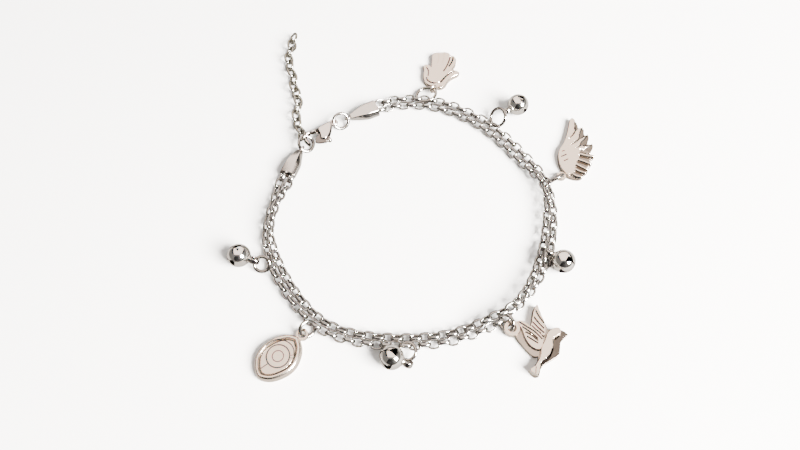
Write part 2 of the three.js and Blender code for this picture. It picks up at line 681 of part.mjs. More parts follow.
const charmForms = {
  charm_hand: handCharm,
  charm_wing: wingCharm,
  charm_bird: birdCharm,
  charm_eye: eyeCharm,
};
for (const [name, form] of Object.entries(charmForms)) {
  relieve(placeCharm(name, form()), rings[CHARMS[name].ring]);
}
for (const name of Object.keys(BELLS)) {
  relieve(makeBell(name), rings[BELLS[name].ring]);
  makePellet(name);
}

export default anklet;
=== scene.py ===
"""The fine model of a charm anklet in polished stainless steel, built round its packed frame."""

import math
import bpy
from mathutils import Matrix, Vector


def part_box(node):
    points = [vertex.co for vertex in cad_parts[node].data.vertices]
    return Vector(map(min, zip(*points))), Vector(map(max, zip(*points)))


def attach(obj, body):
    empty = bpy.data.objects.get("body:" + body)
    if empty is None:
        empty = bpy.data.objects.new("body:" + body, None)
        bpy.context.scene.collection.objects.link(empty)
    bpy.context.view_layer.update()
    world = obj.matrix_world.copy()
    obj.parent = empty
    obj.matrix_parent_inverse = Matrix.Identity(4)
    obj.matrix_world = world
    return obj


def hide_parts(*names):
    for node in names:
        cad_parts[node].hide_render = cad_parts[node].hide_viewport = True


bl_info = {
    "name": "Charm anklet",
    "version": (1, 0, 0),
    "blender": (4, 5, 0),
    "location": "View3D > Sidebar > Anklet",
    "description": "Builds a steel anklet with its chain, clasp, charms and bells round its frame",
    "category": "Add Mesh",
}

import bmesh
import bpy
import numpy as np
from bpy.props import FloatProperty, FloatVectorProperty, PointerProperty
from mathutils import Matrix, Vector
from mathutils.geometry import delaunay_2d_cdt

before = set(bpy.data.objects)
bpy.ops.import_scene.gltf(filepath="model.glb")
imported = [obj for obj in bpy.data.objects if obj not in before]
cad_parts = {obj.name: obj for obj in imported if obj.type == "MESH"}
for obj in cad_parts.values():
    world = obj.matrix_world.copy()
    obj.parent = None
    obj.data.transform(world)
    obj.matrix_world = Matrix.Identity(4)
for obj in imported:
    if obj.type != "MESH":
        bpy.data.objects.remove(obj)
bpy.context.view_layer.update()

# ---------------------------------------------------------------- units and colours

MM = 0.001


def linear(hex_colour):
    """An sRGB hex colour as linear red, green and blue."""
    channels = [int(hex_colour[i:i + 2], 16) / 255 for i in (1, 3, 5)]
    return [c / 12.92 if c <= 0.04045 else ((c + 0.055) / 1.055) ** 2.4 for c in channels]


def per_metre(millimetres):
    """A texture scale that gives the pattern this real size."""
    return 1 / (millimetres * MM)


# ---------------------------------------------------------------- where things lie
# Everything below is in millimetres, measured from the middle of the anklet's loop.

# The double chain, from cap A's mouth round to cap B's mouth. Columns: x and y of the middle of
# the pair, how far apart the strands run in plan, height of the outer and of the inner strand.
ROUTE = [
    [-31.1, 14.1, 2.4, 1.7, 1.7],
    [-32.0, 11.6, 2.4, 1.3, 1.5],
    [-33.2, 7.0, 1.6, 1.05, 2.8],
    [-34.3, 2.0, 1.3, 1.05, 3.05],
    [-34.6, -3.5, 1.3, 1.05, 3.05],
    [-33.5, -8.5, 1.8, 1.05, 2.6],
    [-31.4, -13.5, 2.1, 1.05, 1.6],
    [-28.7, -18.0, 2.1, 1.05, 1.1],
    [-25.6, -22.2, 2.05, 1.05, 1.05],
    [-22.1, -26.0, 2.0, 1.05, 1.05],
    [-18.0, -29.0, 2.0, 1.05, 1.05],
    [-13.2, -30.9, 2.0, 1.05, 1.05],
    [-8.2, -31.9, 1.95, 1.05, 1.05],
    [-3.0, -32.4, 1.95, 1.05, 1.05],
    [2.2, -32.5, 1.95, 1.05, 1.05],
    [7.3, -32.2, 1.95, 1.05, 1.05],
    [12.4, -31.4, 1.95, 1.05, 1.05],
    [17.4, -29.8, 1.9, 1.05, 1.3],
    [22.2, -27.8, 1.8, 1.05, 2.6],
    [26.6, -25.3, 0.9, 1.05, 3.2],
    [30.4, -21.8, 0.7, 1.05, 3.25],
    [33.5, -17.6, 1.3, 1.05, 3.05],
    [36.0, -13.0, 1.9, 1.05, 2.5],
    [37.9, -8.1, 2.1, 1.05, 2.2],
    [39.2, -3.1, 2.1, 1.05, 2.2],
    [40.0, 2.0, 1.9, 1.05, 2.5],
    [40.2, 7.1, 1.4, 1.05, 3.0],
    [39.4, 12.2, 1.6, 1.05, 2.8],
    [36.9, 16.7, 2.2, 1.05, 1.9],
    [33.8, 20.9, 2.3, 1.05, 1.05],
    [30.7, 25.1, 2.3, 1.05, 1.05],
    [27.3, 29.0, 2.3, 1.05, 1.05],
    [23.4, 32.5, 2.3, 1.05, 1.05],
    [19.1, 35.3, 2.3, 1.05, 1.05],
    [14.6, 37.6, 2.35, 1.05, 1.05],
    [9.6, 39.2, 2.35, 1.05, 1.05],
    [4.5, 39.8, 2.35, 1.05, 1.05],
    [-0.7, 39.6, 2.35, 1.05, 1.05],
    [-4.3, 38.7, 2.35, 1.3, 1.3],
    [-6.5, 37.6, 2.4, 1.7, 1.7],
]

# How far a strand's even links are rolled from lying flat, against the share of the way round.
# Columns: the share, the outer and the inner strand, in degrees.
ROLL = np.array([
    [0.0, 45, 45],
    [0.15, 30, 38],
    [0.3, 12, 42],
    [0.48, 14, 42],
    [0.62, 40, 45],
    [0.8, 54, 50],
    [1.0, 58, 58],
])

# How the extender's even links are rolled, in the same way.
EXTENDER_ROLL = [[0, -45], [1, -45]]

# Points in plan where a link of that strand lies at the roll above, and not a quarter turn on.
FLAT_LINKS = {
    "strand_outer": [[-18.9, -30.1], [-5.5, -33.0], [8.5, -33.2], [22.2, -29.0]],
    "strand_inner": [[-16.3, -28.5], [-3.1, -31.5], [10.5, -31.1], [19.4, -28.7]],
}

# The extender chain, from the ring in the clasp to its free end: x, y and height.
EXTENDER_ROUTE = [
    [-27.8, 27.1, 2.7],
    [-28.5, 29.3, 2.0],
    [-29.5, 31.9, 1.3],
    [-30.1, 35.0, 1.2],
    [-29.8, 38.2, 1.2],
    [-30.2, 41.8, 1.2],
    [-31.6, 45.2, 1.2],
    [-31.9, 48.6, 1.2],
    [-33.0, 51.8, 1.2],
    [-33.9, 56.2, 1.2],
    [-33.4, 61.5, 1.2],
    [-33.1, 65.0, 1.2],
    [-34.2, 68.2, 1.2],
]

# Jump rings: centre, mean radius, the compass direction that the ring leans towards and its lean
# from lying flat, both in degrees.
RINGS = {
    "ring_a": ([-26.5, 24.8, 1.9], 2.18, -35, 36),
    "ring_b": ([-17.0, 32.6, 1.95], 2.18, -65, 45),
    "ring_hand": ([7.7, 42.3, 1.75], 2.9, 143, 17),
    "ring_wing": ([42.5, 13.0, 2.5], 2.27, 123, 67),
    "ring_bird": ([26.1, -27.9, 2.0], 1.95, -145, 52),
    "ring_eye": ([-22.6, -29.5, 1.96], 2.0, -45, 50),
    "ring_bell_1": ([28.2, 33.6, 2.4], 2.55, -156, 50),
    "ring_bell_2": ([38.0, -10.9, 2.2], 2.05, -20, 60),
    "ring_bell_3": ([1.8, -35.0, 1.75], 2.1, -150, 20),
    "ring_bell_4": ([-35.4, -12.2, 1.8], 1.95, -80, 35),
}

# End caps: the ring that the eye holds, where on that ring in degrees, where the mouth is, and the
# roll about the cap's length in degrees.
CAPS = {
    "end_cap_a": ("ring_a", -91, [-30.9, 14.6, 1.95], 18),
    "end_cap_b": ("ring_b", 90, [-7.0, 37.3, 1.8], 10),
}

# The clasp: where on ring B its eye sits, in degrees, and where the tip of its claw points.
CLASP_ON_RING_B = -98
CLASP_CLAW = [-27.5, 26.95]

# Charms: where the loop's hole is, and the turn about Z of the charm's own frame, in which the
# charm runs from its loop at the origin towards +Y with its back at z = 0.
CHARMS = {
    "charm_hand": ([11.8, 44.9, 0.0], -11),
    "charm_wing": ([44.6, 14.7, 0.0], -33),
    "charm_bird": ([27.4, -29.2, 0.0], -110),
    "charm_eye": ([-23.9, -30.6, 0.0], 138),
}

# Bells: centre of the ball, a point that the shank loop reaches towards, the roll about the
# shank that takes the first slot away from facing up, the same for the shank loop's hole, both in
# degrees, and how far from the equator towards the shank the slots end.
BELLS = {
    "1": ([34.2, 37.6, 3.02], [30.6, 35.0, 3.4], 0, 50, 0.45),
    "2": ([41.7, -11.9, 3.02], [37.8, -9.4, 3.3], 0, 50, -0.2),
    "3": ([-2.0, -36.8, 3.02], [1.9, -37.9, 1.6], -18, -50, 0.25),
    "4": ([-41.3, -10.3, 3.02], [-37.0, -11.6, 2.6], 67, -50, 0.2),
}

# Ring A keeps its place, so it gives the middle of the loop in the frame.
low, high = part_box("ring_a")
LOOP_CENTRE = (np.array(low + high) / 2 / MM - RINGS["ring_a"][0]) * [1, 1, 0]


# ---------------------------------------------------------------- settings

def length(name, millimetres, description):
    """A length property, kept in metres."""
    return FloatProperty(name=name, description=description, default=millimetres * MM,
                         min=0, precision=5, subtype="DISTANCE", unit="LENGTH")


def angle(name, degrees, description):
    """An angle property, kept in radians."""
    return FloatProperty(name=name, description=description, default=math.radians(degrees),
                         subtype="ANGLE", unit="ROTATION")


def colour(name, hex_colour, description):
    """A colour property, kept linear."""
    return FloatVectorProperty(name=name, description=description, default=linear(hex_colour),
                               min=0, max=1, size=3, subtype="COLOR")


def factor(name, value, description, high):
    """A plain number property, up to a highest value."""
    return FloatProperty(name=name, description=description, default=value, min=0, max=high)


class StageSettings(bpy.types.PropertyGroup):
    """The table top, the lamps and the camera."""
    floor_colour: colour("Floor", "#f7f5f3", "Colour of the table top")
    mirrored_colour: colour("Mirrored floor", "#686664", "Colour of the table top as the steel mirrors it")
    floor_size: length("Floor size", 3000, "Side of the square table top")
    camera_distance: length("Camera distance", 172.6, "From the camera to the middle of the loop")
    camera_height: angle("Camera elevation", 63, "How far the camera looks down")
    lens: FloatProperty(name="Focal length", description="Focal length on a 36 mm wide sensor",
                        default=29.03, min=1, subtype="DISTANCE_CAMERA", unit="CAMERA")
    key: factor("Key lamp", 430, "Brightness of the key lamp's face, as the steel mirrors it", 2000)
    scrim: factor("Key scrim", 178, "Brightness of the scrim that softens the key lamp's shadows", 2000)
    fill: factor("Fill lamp", 1.1, "Brightness of the lamp that lightens the shadows", 50)
    card: factor("Overhead card", 2.9, "Brightness of the large card that flat faces mirror", 50)
    room: factor("Room", 0.3, "Brightness of the room round the lamps", 10)


class ChainSettings(bpy.types.PropertyGroup):
    """The double cable chain and the extender."""
    link_length: length("Link length", 3.3, "Outer length of a cable link")
    link_width: length("Link width", 2.55, "Outer width of a cable link")
    wire: length("Wire", 0.5, "Thickness of the cable chain's rolled wire in a link's plane")
    wire_depth: length("Wire depth", 0.9, "Depth of that wire across a link's plane")
    pitch: length("Pitch", 2.27, "Distance from link to link along the chain")
    extender_length: length("Extender link length", 4.1, "Outer length of an extender link")
    extender_width: length("Extender link width", 3.4, "Outer width of an extender link")
    extender_wire: length("Extender wire", 0.72, "Thickness of the extender's wire")
    extender_pitch: length("Extender pitch", 2.75, "Distance from link to link in the extender")
    wire_colour: colour("Chain steel", "#9c9995", "Colour of the cable chain's steel")
    extender_colour: colour("Extender steel", "#908d84", "Colour of the extender's steel")


class FindingSettings(bpy.types.PropertyGroup):
    """Jump rings, end caps and the clasp."""
    ring_wire: length("Jump ring wire", 0.85, "Thickness of the jump rings' wire")
    ring_gap: length("Jump ring seam", 0.04, "Width of the seam where a ring was closed")
    cap_length: length("End cap length", 9.0, "From the eye of an end cap to its mouth")
    clasp_length: length("Clasp length", 9.7, "From the clasp's eye to the end of its claw")
    clasp_thickness: length("Clasp thickness", 1.7, "Thickness of the clasp")
    ring_colour: colour("Ring steel", "#948f8a", "Colour of the jump rings")
    clasp_colour: colour("Clasp steel", "#e2d8d0", "Colour of the clasp's faces")
    # Painted shade: the clasp's flanks, deeper steps and lever are darkened towards this colour.
    clasp_shade_colour: colour("Clasp hollows", "#3f3833", "Colour of the clasp's flanks and hollows")
    cap_colour: colour("Cap steel", "#d0c9c2", "Colour of the end caps")


class CharmSettings(bpy.types.PropertyGroup):
    """The four cast charms."""
    detail: length("Relief detail", 0.12, "Spacing of the points that carry the relief")
    face_colour: colour("Charm steel", "#e6d6c6", "Colour of the charms' raised faces")
    # Painted shade: the charms' grooves, feather faces and sides are darkened towards this colour.
    charm_shade_colour: colour("Recess", "#47413c", "Colour of the unpolished hollows")


class BellSettings(bpy.types.PropertyGroup):
    """The four jingle bells."""
    radius: length("Bell radius", 3.0, "Outer radius of a bell")
    wall: length("Bell wall", 0.4, "Thickness of a bell's shell")
    loop: length("Shank loop", 1.12, "Mean radius of a bell's shank loop")
    loop_strip: length("Shank strip", 0.5, "Thickness of the strip that the shank loop is bent from")
    loop_width: length("Shank width", 1.4, "Width of that strip")
    loop_reach: length("Shank reach", 4.2, "From a bell's centre to its shank loop's centre")
    slot_top: length("Slot width", 2.3, "Width of a slot at its wide end")
    slot_taper: length("Slot taper", 1.8, "Length of a slot's wide end")
    slot_foot: length("Slot foot", 0.4, "Width of a slot from there to the foot of the bell")
    ball: length("Ball radius", 0.85, "Radius of the loose ball in a bell")
    shell_colour: colour("Bell steel", "#e8e2da", "Colour of the bells' shells")
    # Painted shade: the bells' insides, loose balls, necks and shank loops are darkened towards this colour.
    inside_shade_colour: colour("Bell inside", "#1c1714", "Colour of the bells' insides and loose balls")


GROUPS = {
    "anklet_stage": StageSettings,
    "anklet_chain": ChainSettings,
    "anklet_findings": FindingSettings,
    "anklet_charms": CharmSettings,
    "anklet_bells": BellSettings,
}


# ---------------------------------------------------------------- node helpers

def add_node(tree, kind, sockets=None, links=None, **settings):
    """Adds a node with its own settings, its constant sockets and its links from other nodes."""
    node = tree.nodes.new(kind)
    for name, value in settings.items():
        setattr(node, name, value)
    for name, value in (sockets or {}).items():
        node.inputs[name].default_value = value
    for name, source in (links or {}).items():
        tree.links.new(source, node.inputs[name])
    return node


# ---------------------------------------------------------------- finishes

def bare_material(name):
    """A new node material, with its output and nothing else."""
    material = bpy.data.materials.new(name)
    material.use_nodes = True
    tree = material.node_tree
    tree.nodes.clear()
    return material, tree, add_node(tree, "ShaderNodeOutputMaterial")


# How far a metal's grain varies its roughness, as shares of it.
ROUGHNESS_SPREAD = (0.7, 1.5)

# How much deeper the polishing wheel's waves are than the grain.
WAVE_DEPTH = 3

# Sockets of a Mix node that mixes colours.
MIX_FACTOR, MIX_FACE, MIX_SHADE, MIX_RESULT = 0, 6, 7, 2


def polished_metal(name, colour_value, roughness, grain, depth, waviness):
    """A metal with a fine grain and the slow waves that a polishing wheel leaves. The grain, its
    depth and the waves are in millimetres."""
    material, tree, output = bare_material(name)
    place = add_node(tree, "ShaderNodeTexCoord")
    fine = add_node(tree, "ShaderNodeTexNoise", {"Scale": per_metre(grain), "Detail": 3.0},
                    {"Vector": place.outputs["Object"]})
    slow = add_node(tree, "ShaderNodeTexNoise", {"Scale": per_metre(waviness), "Detail": 1.0},
                    {"Vector": place.outputs["Object"]})
    smoothest, roughest = (roughness * share for share in ROUGHNESS_SPREAD)
    sheen = add_node(tree, "ShaderNodeMapRange", {"To Min": smoothest, "To Max": roughest},
                     {"Value": fine.outputs["Fac"]})
    dents = add_node(tree, "ShaderNodeBump", {"Strength": 0.25, "Distance": depth * WAVE_DEPTH * MM},
                     {"Height": slow.outputs["Fac"]})
    bump = add_node(tree, "ShaderNodeBump", {"Strength": 0.35, "Distance": depth * MM},
                    {"Height": fine.outputs["Fac"], "Normal": dents.outputs["Normal"]})
    shader = add_node(tree, "ShaderNodeBsdfPrincipled", {"Metallic": 1.0, "Base Color": (*colour_value, 1)},
                      {"Roughness": sheen.outputs["Result"], "Normal": bump.outputs["Normal"]})
    tree.links.new(shader.outputs["BSDF"], output.inputs["Surface"])
    return material, tree, shader


def metal_with_painted_shade(name, face_value, shade_tone, **finish):
    """A polished metal with shade painted into its colour: the shade values painted on a piece's points mix
    its face colour towards a dark shade colour."""
    material, tree, shader = polished_metal(name, face_value, **finish)
    # The shade painted on each point darkens the base colour towards the shade colour.
    painted_shade = add_node(tree, "ShaderNodeAttribute", attribute_name="painted_shade")
    tint = add_node(tree, "ShaderNodeMix",
                    {MIX_FACE: (*face_value, 1), MIX_SHADE: (*shade_tone, 1)},
                    {MIX_FACTOR: painted_shade.outputs["Fac"]}, data_type="RGBA")
    tree.links.new(tint.outputs[MIX_RESULT], shader.inputs["Base Color"])
    return material


def matt_surface(name, colour_value, roughness, gloss, grain, depth, bump_strength):
    """A surface with no polish and a fine tooth, whose grain and depth are in millimetres."""
    material, tree, output = bare_material(name)
    place = add_node(tree, "ShaderNodeTexCoord")
    tooth = add_node(tree, "ShaderNodeTexNoise", {"Scale": per_metre(grain), "Detail": 4.0},
                     {"Vector": place.outputs["Object"]})
    bump = add_node(tree, "ShaderNodeBump", {"Strength": bump_strength, "Distance": depth * MM},
                    {"Height": tooth.outputs["Fac"]})
    finish = {"Base Color": (*colour_value, 1), "Roughness": roughness, "Specular IOR Level": gloss}
    shader = add_node(tree, "ShaderNodeBsdfPrincipled", finish, {"Normal": bump.outputs["Normal"]})
    tree.links.new(shader.outputs["BSDF"], output.inputs["Surface"])
    return material


def drawn_wire_steel(name, colour_value):
    """Drawn stainless wire, tumbled bright: narrow, slightly broken highlights along each link."""
    return polished_metal(name, colour_value, roughness=0.15, grain=0.12, depth=0.006, waviness=0.9)[0]


def jump_ring_steel(colour_value):
    """Bright annealed stainless wire: clean dark and white lines round the ring."""
    return polished_metal("Annealed stainless wire", colour_value, roughness=0.1, grain=0.15, depth=0.004,
                          waviness=1.4)[0]


def pressed_sheet_steel(colour_value):
    """Pressed and buffed stainless sheet: one calm, nearly flat reflection on each face."""
    return polished_metal("Pressed stainless sheet", colour_value, roughness=0.11, grain=0.2, depth=0.004,
                          waviness=2.5)[0]


def cast_clasp_steel(face_value, shade_value):
    """Investment-cast stainless, barrel polished: calm warm faces, with dark shade painted over its flanks,
    its deeper steps and its lever."""
    return metal_with_painted_shade("Cast stainless clasp", face_value, shade_value, roughness=0.16, grain=0.25,
                          depth=0.01, waviness=1.2)


def cast_charm_steel(face_value, shade_value):
    """Cast stainless: warm satin faces, with brown-grey shade painted into the recesses."""
    return metal_with_painted_shade("Cast stainless charm", face_value, shade_value, roughness=0.16, grain=0.22,
                          depth=0.008, waviness=1.6)


def tumbled_shell_steel(shell_value, inside_shade_value):
    """Pressed and tumbled stainless shell: mirror-like outside, so that it shows dark and light bands, with
    brown-black shade painted inside, over the neck and shank loop, and on the loose balls."""
    return metal_with_painted_shade("Tumbled stainless shell", shell_value, inside_shade_value, roughness=0.09, grain=0.2,
                          depth=0.004, waviness=1.8)


def black_felt():
    """Black wool felt: nearly no light comes back, so the steel shows black lines where it
    mirrors it."""
    return matt_surface("Black wool felt", linear("#0c0c0d"), roughness=1.0, gloss=0.1, grain=2,
                        depth=0.3, bump_strength=0.3)


def matt_laminate(name, colour_value):
    """Matt laminate: no highlights, and a barely visible tooth."""
    return matt_surface(name, colour_value, roughness=0.85, gloss=0.2, grain=1.5, depth=0.02,
                        bump_strength=0.05)


# ---------------------------------------------------------------- lines and turns

X, Y, Z = np.eye(3)


def turn_about(axis, degrees):
    """A turn about one of the axes, as a 3 by 3 matrix."""
    return np.array(Matrix.Rotation(math.radians(degrees), 3, axis))


def turn_between(start, end):
    """The shortest turn that takes one direction to another."""
    return np.array(Vector(start).rotation_difference(Vector(end)).to_matrix())


def unit(vector):
    """A vector, or rows of vectors, made one long."""
    return vector / np.linalg.norm(vector, axis=-1, keepdims=True)


def smooth_path(points, closed=False, per_span=12):
    """Points along a centripetal Catmull-Rom curve through the given ones."""
    given = np.array(points, float)
    if closed:
        ends = [given[-1], *given, given[0], given[1]]
    else:
        ends = [2 * given[0] - given[1], *given, 2 * given[-1] - given[-2]]
    share = np.linspace(0, 1, per_span, endpoint=False)[:, None]
    spans = []
    for a, b, c, d in zip(ends, ends[1:], ends[2:], ends[3:]):
        before, span, after = (np.linalg.norm(q - p) ** 0.5 for p, q in ((a, b), (b, c), (c, d)))
        leave = ((b - a) / before - (c - a) / (before + span) + (c - b) / span) * span
        arrive = ((c - b) / span - (d - b) / (span + after) + (d - c) / after) * span
        square = 3 * (c - b) - 2 * leave - arrive
        cube = 2 * (b - c) + leave + arrive
        spans.append(b + leave * share + square * share ** 2 + cube * share ** 3)
    if not closed:
        spans.append(given[-1:])
    return np.concatenate(spans)


def distances_along(path):
    """How far along a path each of its points lies."""
    steps = np.linalg.norm(np.diff(path, axis=0), axis=1)
    return np.concatenate([[0], np.cumsum(steps)])


def points_at(path, distances):
    """Points at these distances along a path."""
    marks = distances_along(path)
    return np.column_stack([np.interp(distances, marks, column) for column in path.T])


def closed_up(path):
    """A closed path with its first point repeated at the end."""
    return np.vstack([path, path[:1]])


def evenly(path, count):
    """A closed path as that many points, evenly spaced."""
    ring = closed_up(path)
    total = distances_along(ring)[-1]
    return points_at(ring, np.arange(count) * total / count)


def circle(radius, count, centre=(0, 0)):
    """Points round a circle in X and Y."""
    turn = np.arange(count) * 2 * math.pi / count
    return np.column_stack([np.cos(turn), np.sin(turn)]) * radius + centre


def level(points, height):
    """Points in X and Y, all at one height."""
    return np.column_stack([points, np.full(len(points), height)])


# ---------------------------------------------------------------- solid forms, as points and faces

def placed(part, turn, at):
    """A part turned and then moved."""
    points, faces = part
    return points @ np.transpose(turn) + at, faces


def joined(parts):
    """Several parts as one."""
    points, faces, count = [], [], 0
    for part_points, part_faces in parts:
        points.append(part_points)
        faces += [[i + count for i in face] for face in part_faces]
        count += len(part_points)
    return np.concatenate(points), faces


def skin(rows, closed=False):
    """Faces over rows of points, each row a closed loop with as many points as the others."""
    count = len(rows[0])
    faces = []
    for row in range(len(rows) if closed else len(rows) - 1):
        here, there = row * count, (row + 1) % len(rows) * count
        for i in range(count):
            j = (i + 1) % count
            faces.append([here + i, here + j, there + j, there + i])
    if not closed:
        faces.append(list(range(count))[::-1])
        faces.append([(len(rows) - 1) * count + i for i in range(count)])
    return np.concatenate(rows), faces


WIRE_SIDES = 18         # sides of a round wire's section


def sides_of(count):
    """Turns to the middles of a section's sides."""
    return (np.arange(count) + 0.5) * 2 * math.pi / count


def squared_oval(turn, width, depth, squareness):
    """Points round an oval: an ellipse at a squareness of 2, and fuller at its corners above it."""
    across, up = np.cos(turn), np.sin(turn)
    power = 2 / squareness
    return np.column_stack([np.sign(across) * abs(across) ** power * width / 2,
                            np.sign(up) * abs(up) ** power * depth / 2])


def wire_section(radius, sides=WIRE_SIDES):
    """A round wire's section. Columns: outward, up."""
    turn = sides_of(sides)
    return np.column_stack([np.cos(turn), np.sin(turn)]) * radius


def rolled_section(thick, deep, sides, squareness):
    """The section of a wire that was rolled flat. Columns: outward, up."""
    return squared_oval(sides_of(sides), thick, deep, squareness)


def bent_wire(path, section, closed=True):
    """A wire of that section bent along a flat path in X and Y, which runs anticlockwise."""
    ahead = np.roll(path, -1, 0) - np.roll(path, 1, 0) if closed else np.gradient(path, axis=0)
    ahead = unit(ahead)
    rows = []
    for (x, y), (ax, ay) in zip(path, ahead):
        out, up = section[:, :1], section[:, 1:]
        rows.append(np.hstack([x + out * ay, y - out * ax, up]))
    return skin(rows, closed)


def torus(radius, wire):
    """A small closed eye of round wire: its mean radius and the wire's."""
    return bent_wire(circle(radius, 48), wire_section(wire))


def ball(radius, around, rows):
    """A sphere as one closed skin, with small flat poles."""
    pole = 0.02
    return skin([level(circle(radius * math.sin(rise), around), -radius * math.cos(rise))
                 for rise in np.linspace(pole, math.pi - pole, rows)])


def distance_to(points, line):
    """How far each point in X and Y is from a line of points."""
    start, step = line[:-1], np.diff(line, axis=0)
    size = np.maximum((step ** 2).sum(1), 1e-12)
    found = []
    for chunk in np.array_split(points, max(1, len(points) * len(step) // 2000000)):
        share = np.clip(((chunk[:, None] - start) * step).sum(2) / size, 0, 1)
        gap = chunk[:, None] - start - share[:, :, None] * step
        found.append(np.sqrt((gap ** 2).sum(2).min(1)))
    return np.concatenate(found)


def inside(points, ring):
    """Whether each point in X and Y lies inside a closed line."""
    x, y = points[:, :1], points[:, 1:2]
    x1, y1 = ring[:-1].T
    x2, y2 = ring[1:].T
    crosses = (y1 > y) != (y2 > y)
    at = x1 + (y - y1) * (x2 - x1) / np.where(y2 == y1, 1e-12, y2 - y1)
    return (crosses & (x < at)).sum(1) % 2 == 1


def rounded(distance, radius):
    """How far a rounded rim lies below the face, at a distance in from the outline."""
    short = np.clip(radius - distance, 0, radius)
    return radius - np.sqrt(radius ** 2 - short ** 2)


def ease(value):
    """0 below 0, 1 above 1 and a smooth rise between."""
    share = np.clip(value, 0, 1)
    return share * share * (3 - 2 * share)


def hump(distance, half, height):
    """A rounded hump of that height, over a distance to either side of its middle; a negative
    height makes a groove."""
    return height * np.clip(1 - (distance / half) ** 2, 0, 1)


def ridge(points, line, half, height):
    """A rounded ridge along a line of given points."""
    return hump(distance_to(points, smooth_path(line)), half, height)


def grooves(points, lines):
    """The deepest of several grooves, each a line with its half width and depth, at each point."""
    return np.min([ridge(points, *line) for line in lines], axis=0)


def patch(points, outline, soft):
    """1 inside a closed outline and 0 outside it, with a soft rim."""
    ring = closed_up(smooth_path(outline, closed=True))
    gap = distance_to(points, ring) * np.where(inside(points, ring), 1, -1)
    return ease(gap / soft + 0.5)


RIM_ROWS = (0.03, 0.08, 0.15, 0.24)     # rows of points close inside an outline


def relief(outline, top, step, bottom=None):
    """A solid with that outline in X and Y. top gives each point's height and the shade painted on it;
    bottom gives the lower height, and without it the back is flat at z = 0."""
    x, y = outline.T
    if (x * np.roll(y, -1) - y * np.roll(x, -1)).sum() < 0:
        outline = outline[::-1]
    count = round(distances_along(closed_up(outline))[-1] / step)
    edge = evenly(outline, count)
    ring = closed_up(edge)
    ahead = unit(np.roll(edge, -1, 0) - np.roll(edge, 1, 0))
    inward = np.column_stack([-ahead[:, 1], ahead[:, 0]])
    low_x, low_y = edge.min(0)
    high_x, high_y = edge.max(0)
    rows = np.arange(low_y, high_y, step * 0.87)
    across = np.arange(low_x, high_x, step)
    grid = np.array([[x + (i % 2) * step / 2, y] for i, y in enumerate(rows) for x in across])
    kept = [edge]
    for row in RIM_ROWS:
        near = edge + inward * row
        kept.append(near[inside(near, ring) & (distance_to(near, ring) > row * 0.92)])
    grid = grid[inside(grid, ring)]
    kept.append(grid[distance_to(grid, ring) > RIM_ROWS[-1] + step * 0.5])
    flat = np.concatenate(kept)
    points, _, faces, *_ = delaunay_2d_cdt([Vector(p) for p in flat], [], [list(range(count))], 1, 1e-6)
    points = np.array([p[:] for p in points])
    gap = distance_to(points, ring)
    gap[:count] = 0
    upper = np.column_stack([points, top(points, gap)[0]])
    if bottom is None:
        lower = level(points[:count], 0)
        under = [list(range(len(upper), len(upper) + count))[::-1]]
    else:
        lower = np.column_stack([points, bottom(points, gap)])
        under = [[i + len(upper) for i in face[::-1]] for face in faces]
    wall = [[i, i + len(upper), (i + 1) % count + len(upper), (i + 1) % count] for i in range(count)]
    return np.vstack([upper, lower]), [*faces, *wall, *under]


# ---------------------------------------------------------------- objects

def new_mesh(name, points, faces):
    """A mesh whose faces all look outwards."""
    mesh = bpy.data.meshes.new(name)
    mesh.from_pydata(points.tolist(), [], faces)
    whole = bmesh.new()
    whole.from_mesh(mesh)
    bmesh.ops.recalc_face_normals(whole, faces=whole.faces)
    whole.to_mesh(mesh)
    whole.free()
    return mesh


def new_object(name, data):
    """An object of a mesh, a lamp or a camera, in the scene."""
    piece = bpy.data.objects.new(name, data)
    bpy.context.scene.collection.objects.link(piece)
    return piece


def show(name, part, material, nodes, body="anklet", sharp=32):
    """Makes an object of a part in the loop's millimetres, which stands for CAD nodes and moves
    with a body. Edges are kept sharp from that angle up, in degrees."""
    points, faces = part
    mesh = new_mesh(name, (points + LOOP_CENTRE) * MM, faces)
    mesh.shade_smooth()
    mesh.set_sharp_from_angle(angle=math.radians(sharp))
    mesh.materials.append(material)
    piece = new_object(name, mesh)
    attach(piece, body)
    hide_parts(*nodes)
    return piece


def paint_shade(piece, values):
    """Paints shade on a piece: how dark each of its points is painted, from 0 for none to 1 for full shade.
    """
    layer = piece.data.attributes.new("painted_shade", "FLOAT", "POINT")
    layer.data.foreach_set("value", np.asarray(values, dtype=np.float32))


def combine(part, others, operation):
    """A part joined with others, or with the others cut out of it."""
    base, *tools = (new_object("helper", new_mesh("helper", *solid)) for solid in (part, *others))
    for tool in tools:
        modifier = base.modifiers.new("combine", "BOOLEAN")
        modifier.operation = operation
        modifier.solver = "EXACT"
        modifier.object = tool
    graph = bpy.context.evaluated_depsgraph_get()
    mesh = base.evaluated_get(graph).to_mesh()
    points = np.array([vertex.co[:] for vertex in mesh.vertices])
    faces = [list(polygon.vertices) for polygon in mesh.polygons]
    if not faces:
        raise RuntimeError("a cut or join left nothing")
    for helper in [base, *tools]:
        data = helper.data
        bpy.data.objects.remove(helper)
        bpy.data.meshes.remove(data)
    return points, faces


def size(value):
    """A length property in millimetres."""
    return value / MM


# ---------------------------------------------------------------- stage

# Lamps: heading counted from +X and height from the table, both in degrees, distance, width and
# depth in metres, the setting with the brightness, the colour, and what the lamp shows in.
LAMPS = {
    "key_lamp": (-33, 37, 0.8, 0.3, 0.3, "key", "#fffcf8", "glossy"),
    "key_scrim": (-33, 37, 0.8, 0.46, 0.46, "scrim", "#fffcf8", "diffuse"),
    "fill_lamp": (90, 75, 0.9, 1.2, 1.2, "fill", "#fffcf8", "diffuse"),
    "overhead_card": (90, 62, 0.5, 0.84, 1.0, "card", "#ffeee2", "glossy"),
}

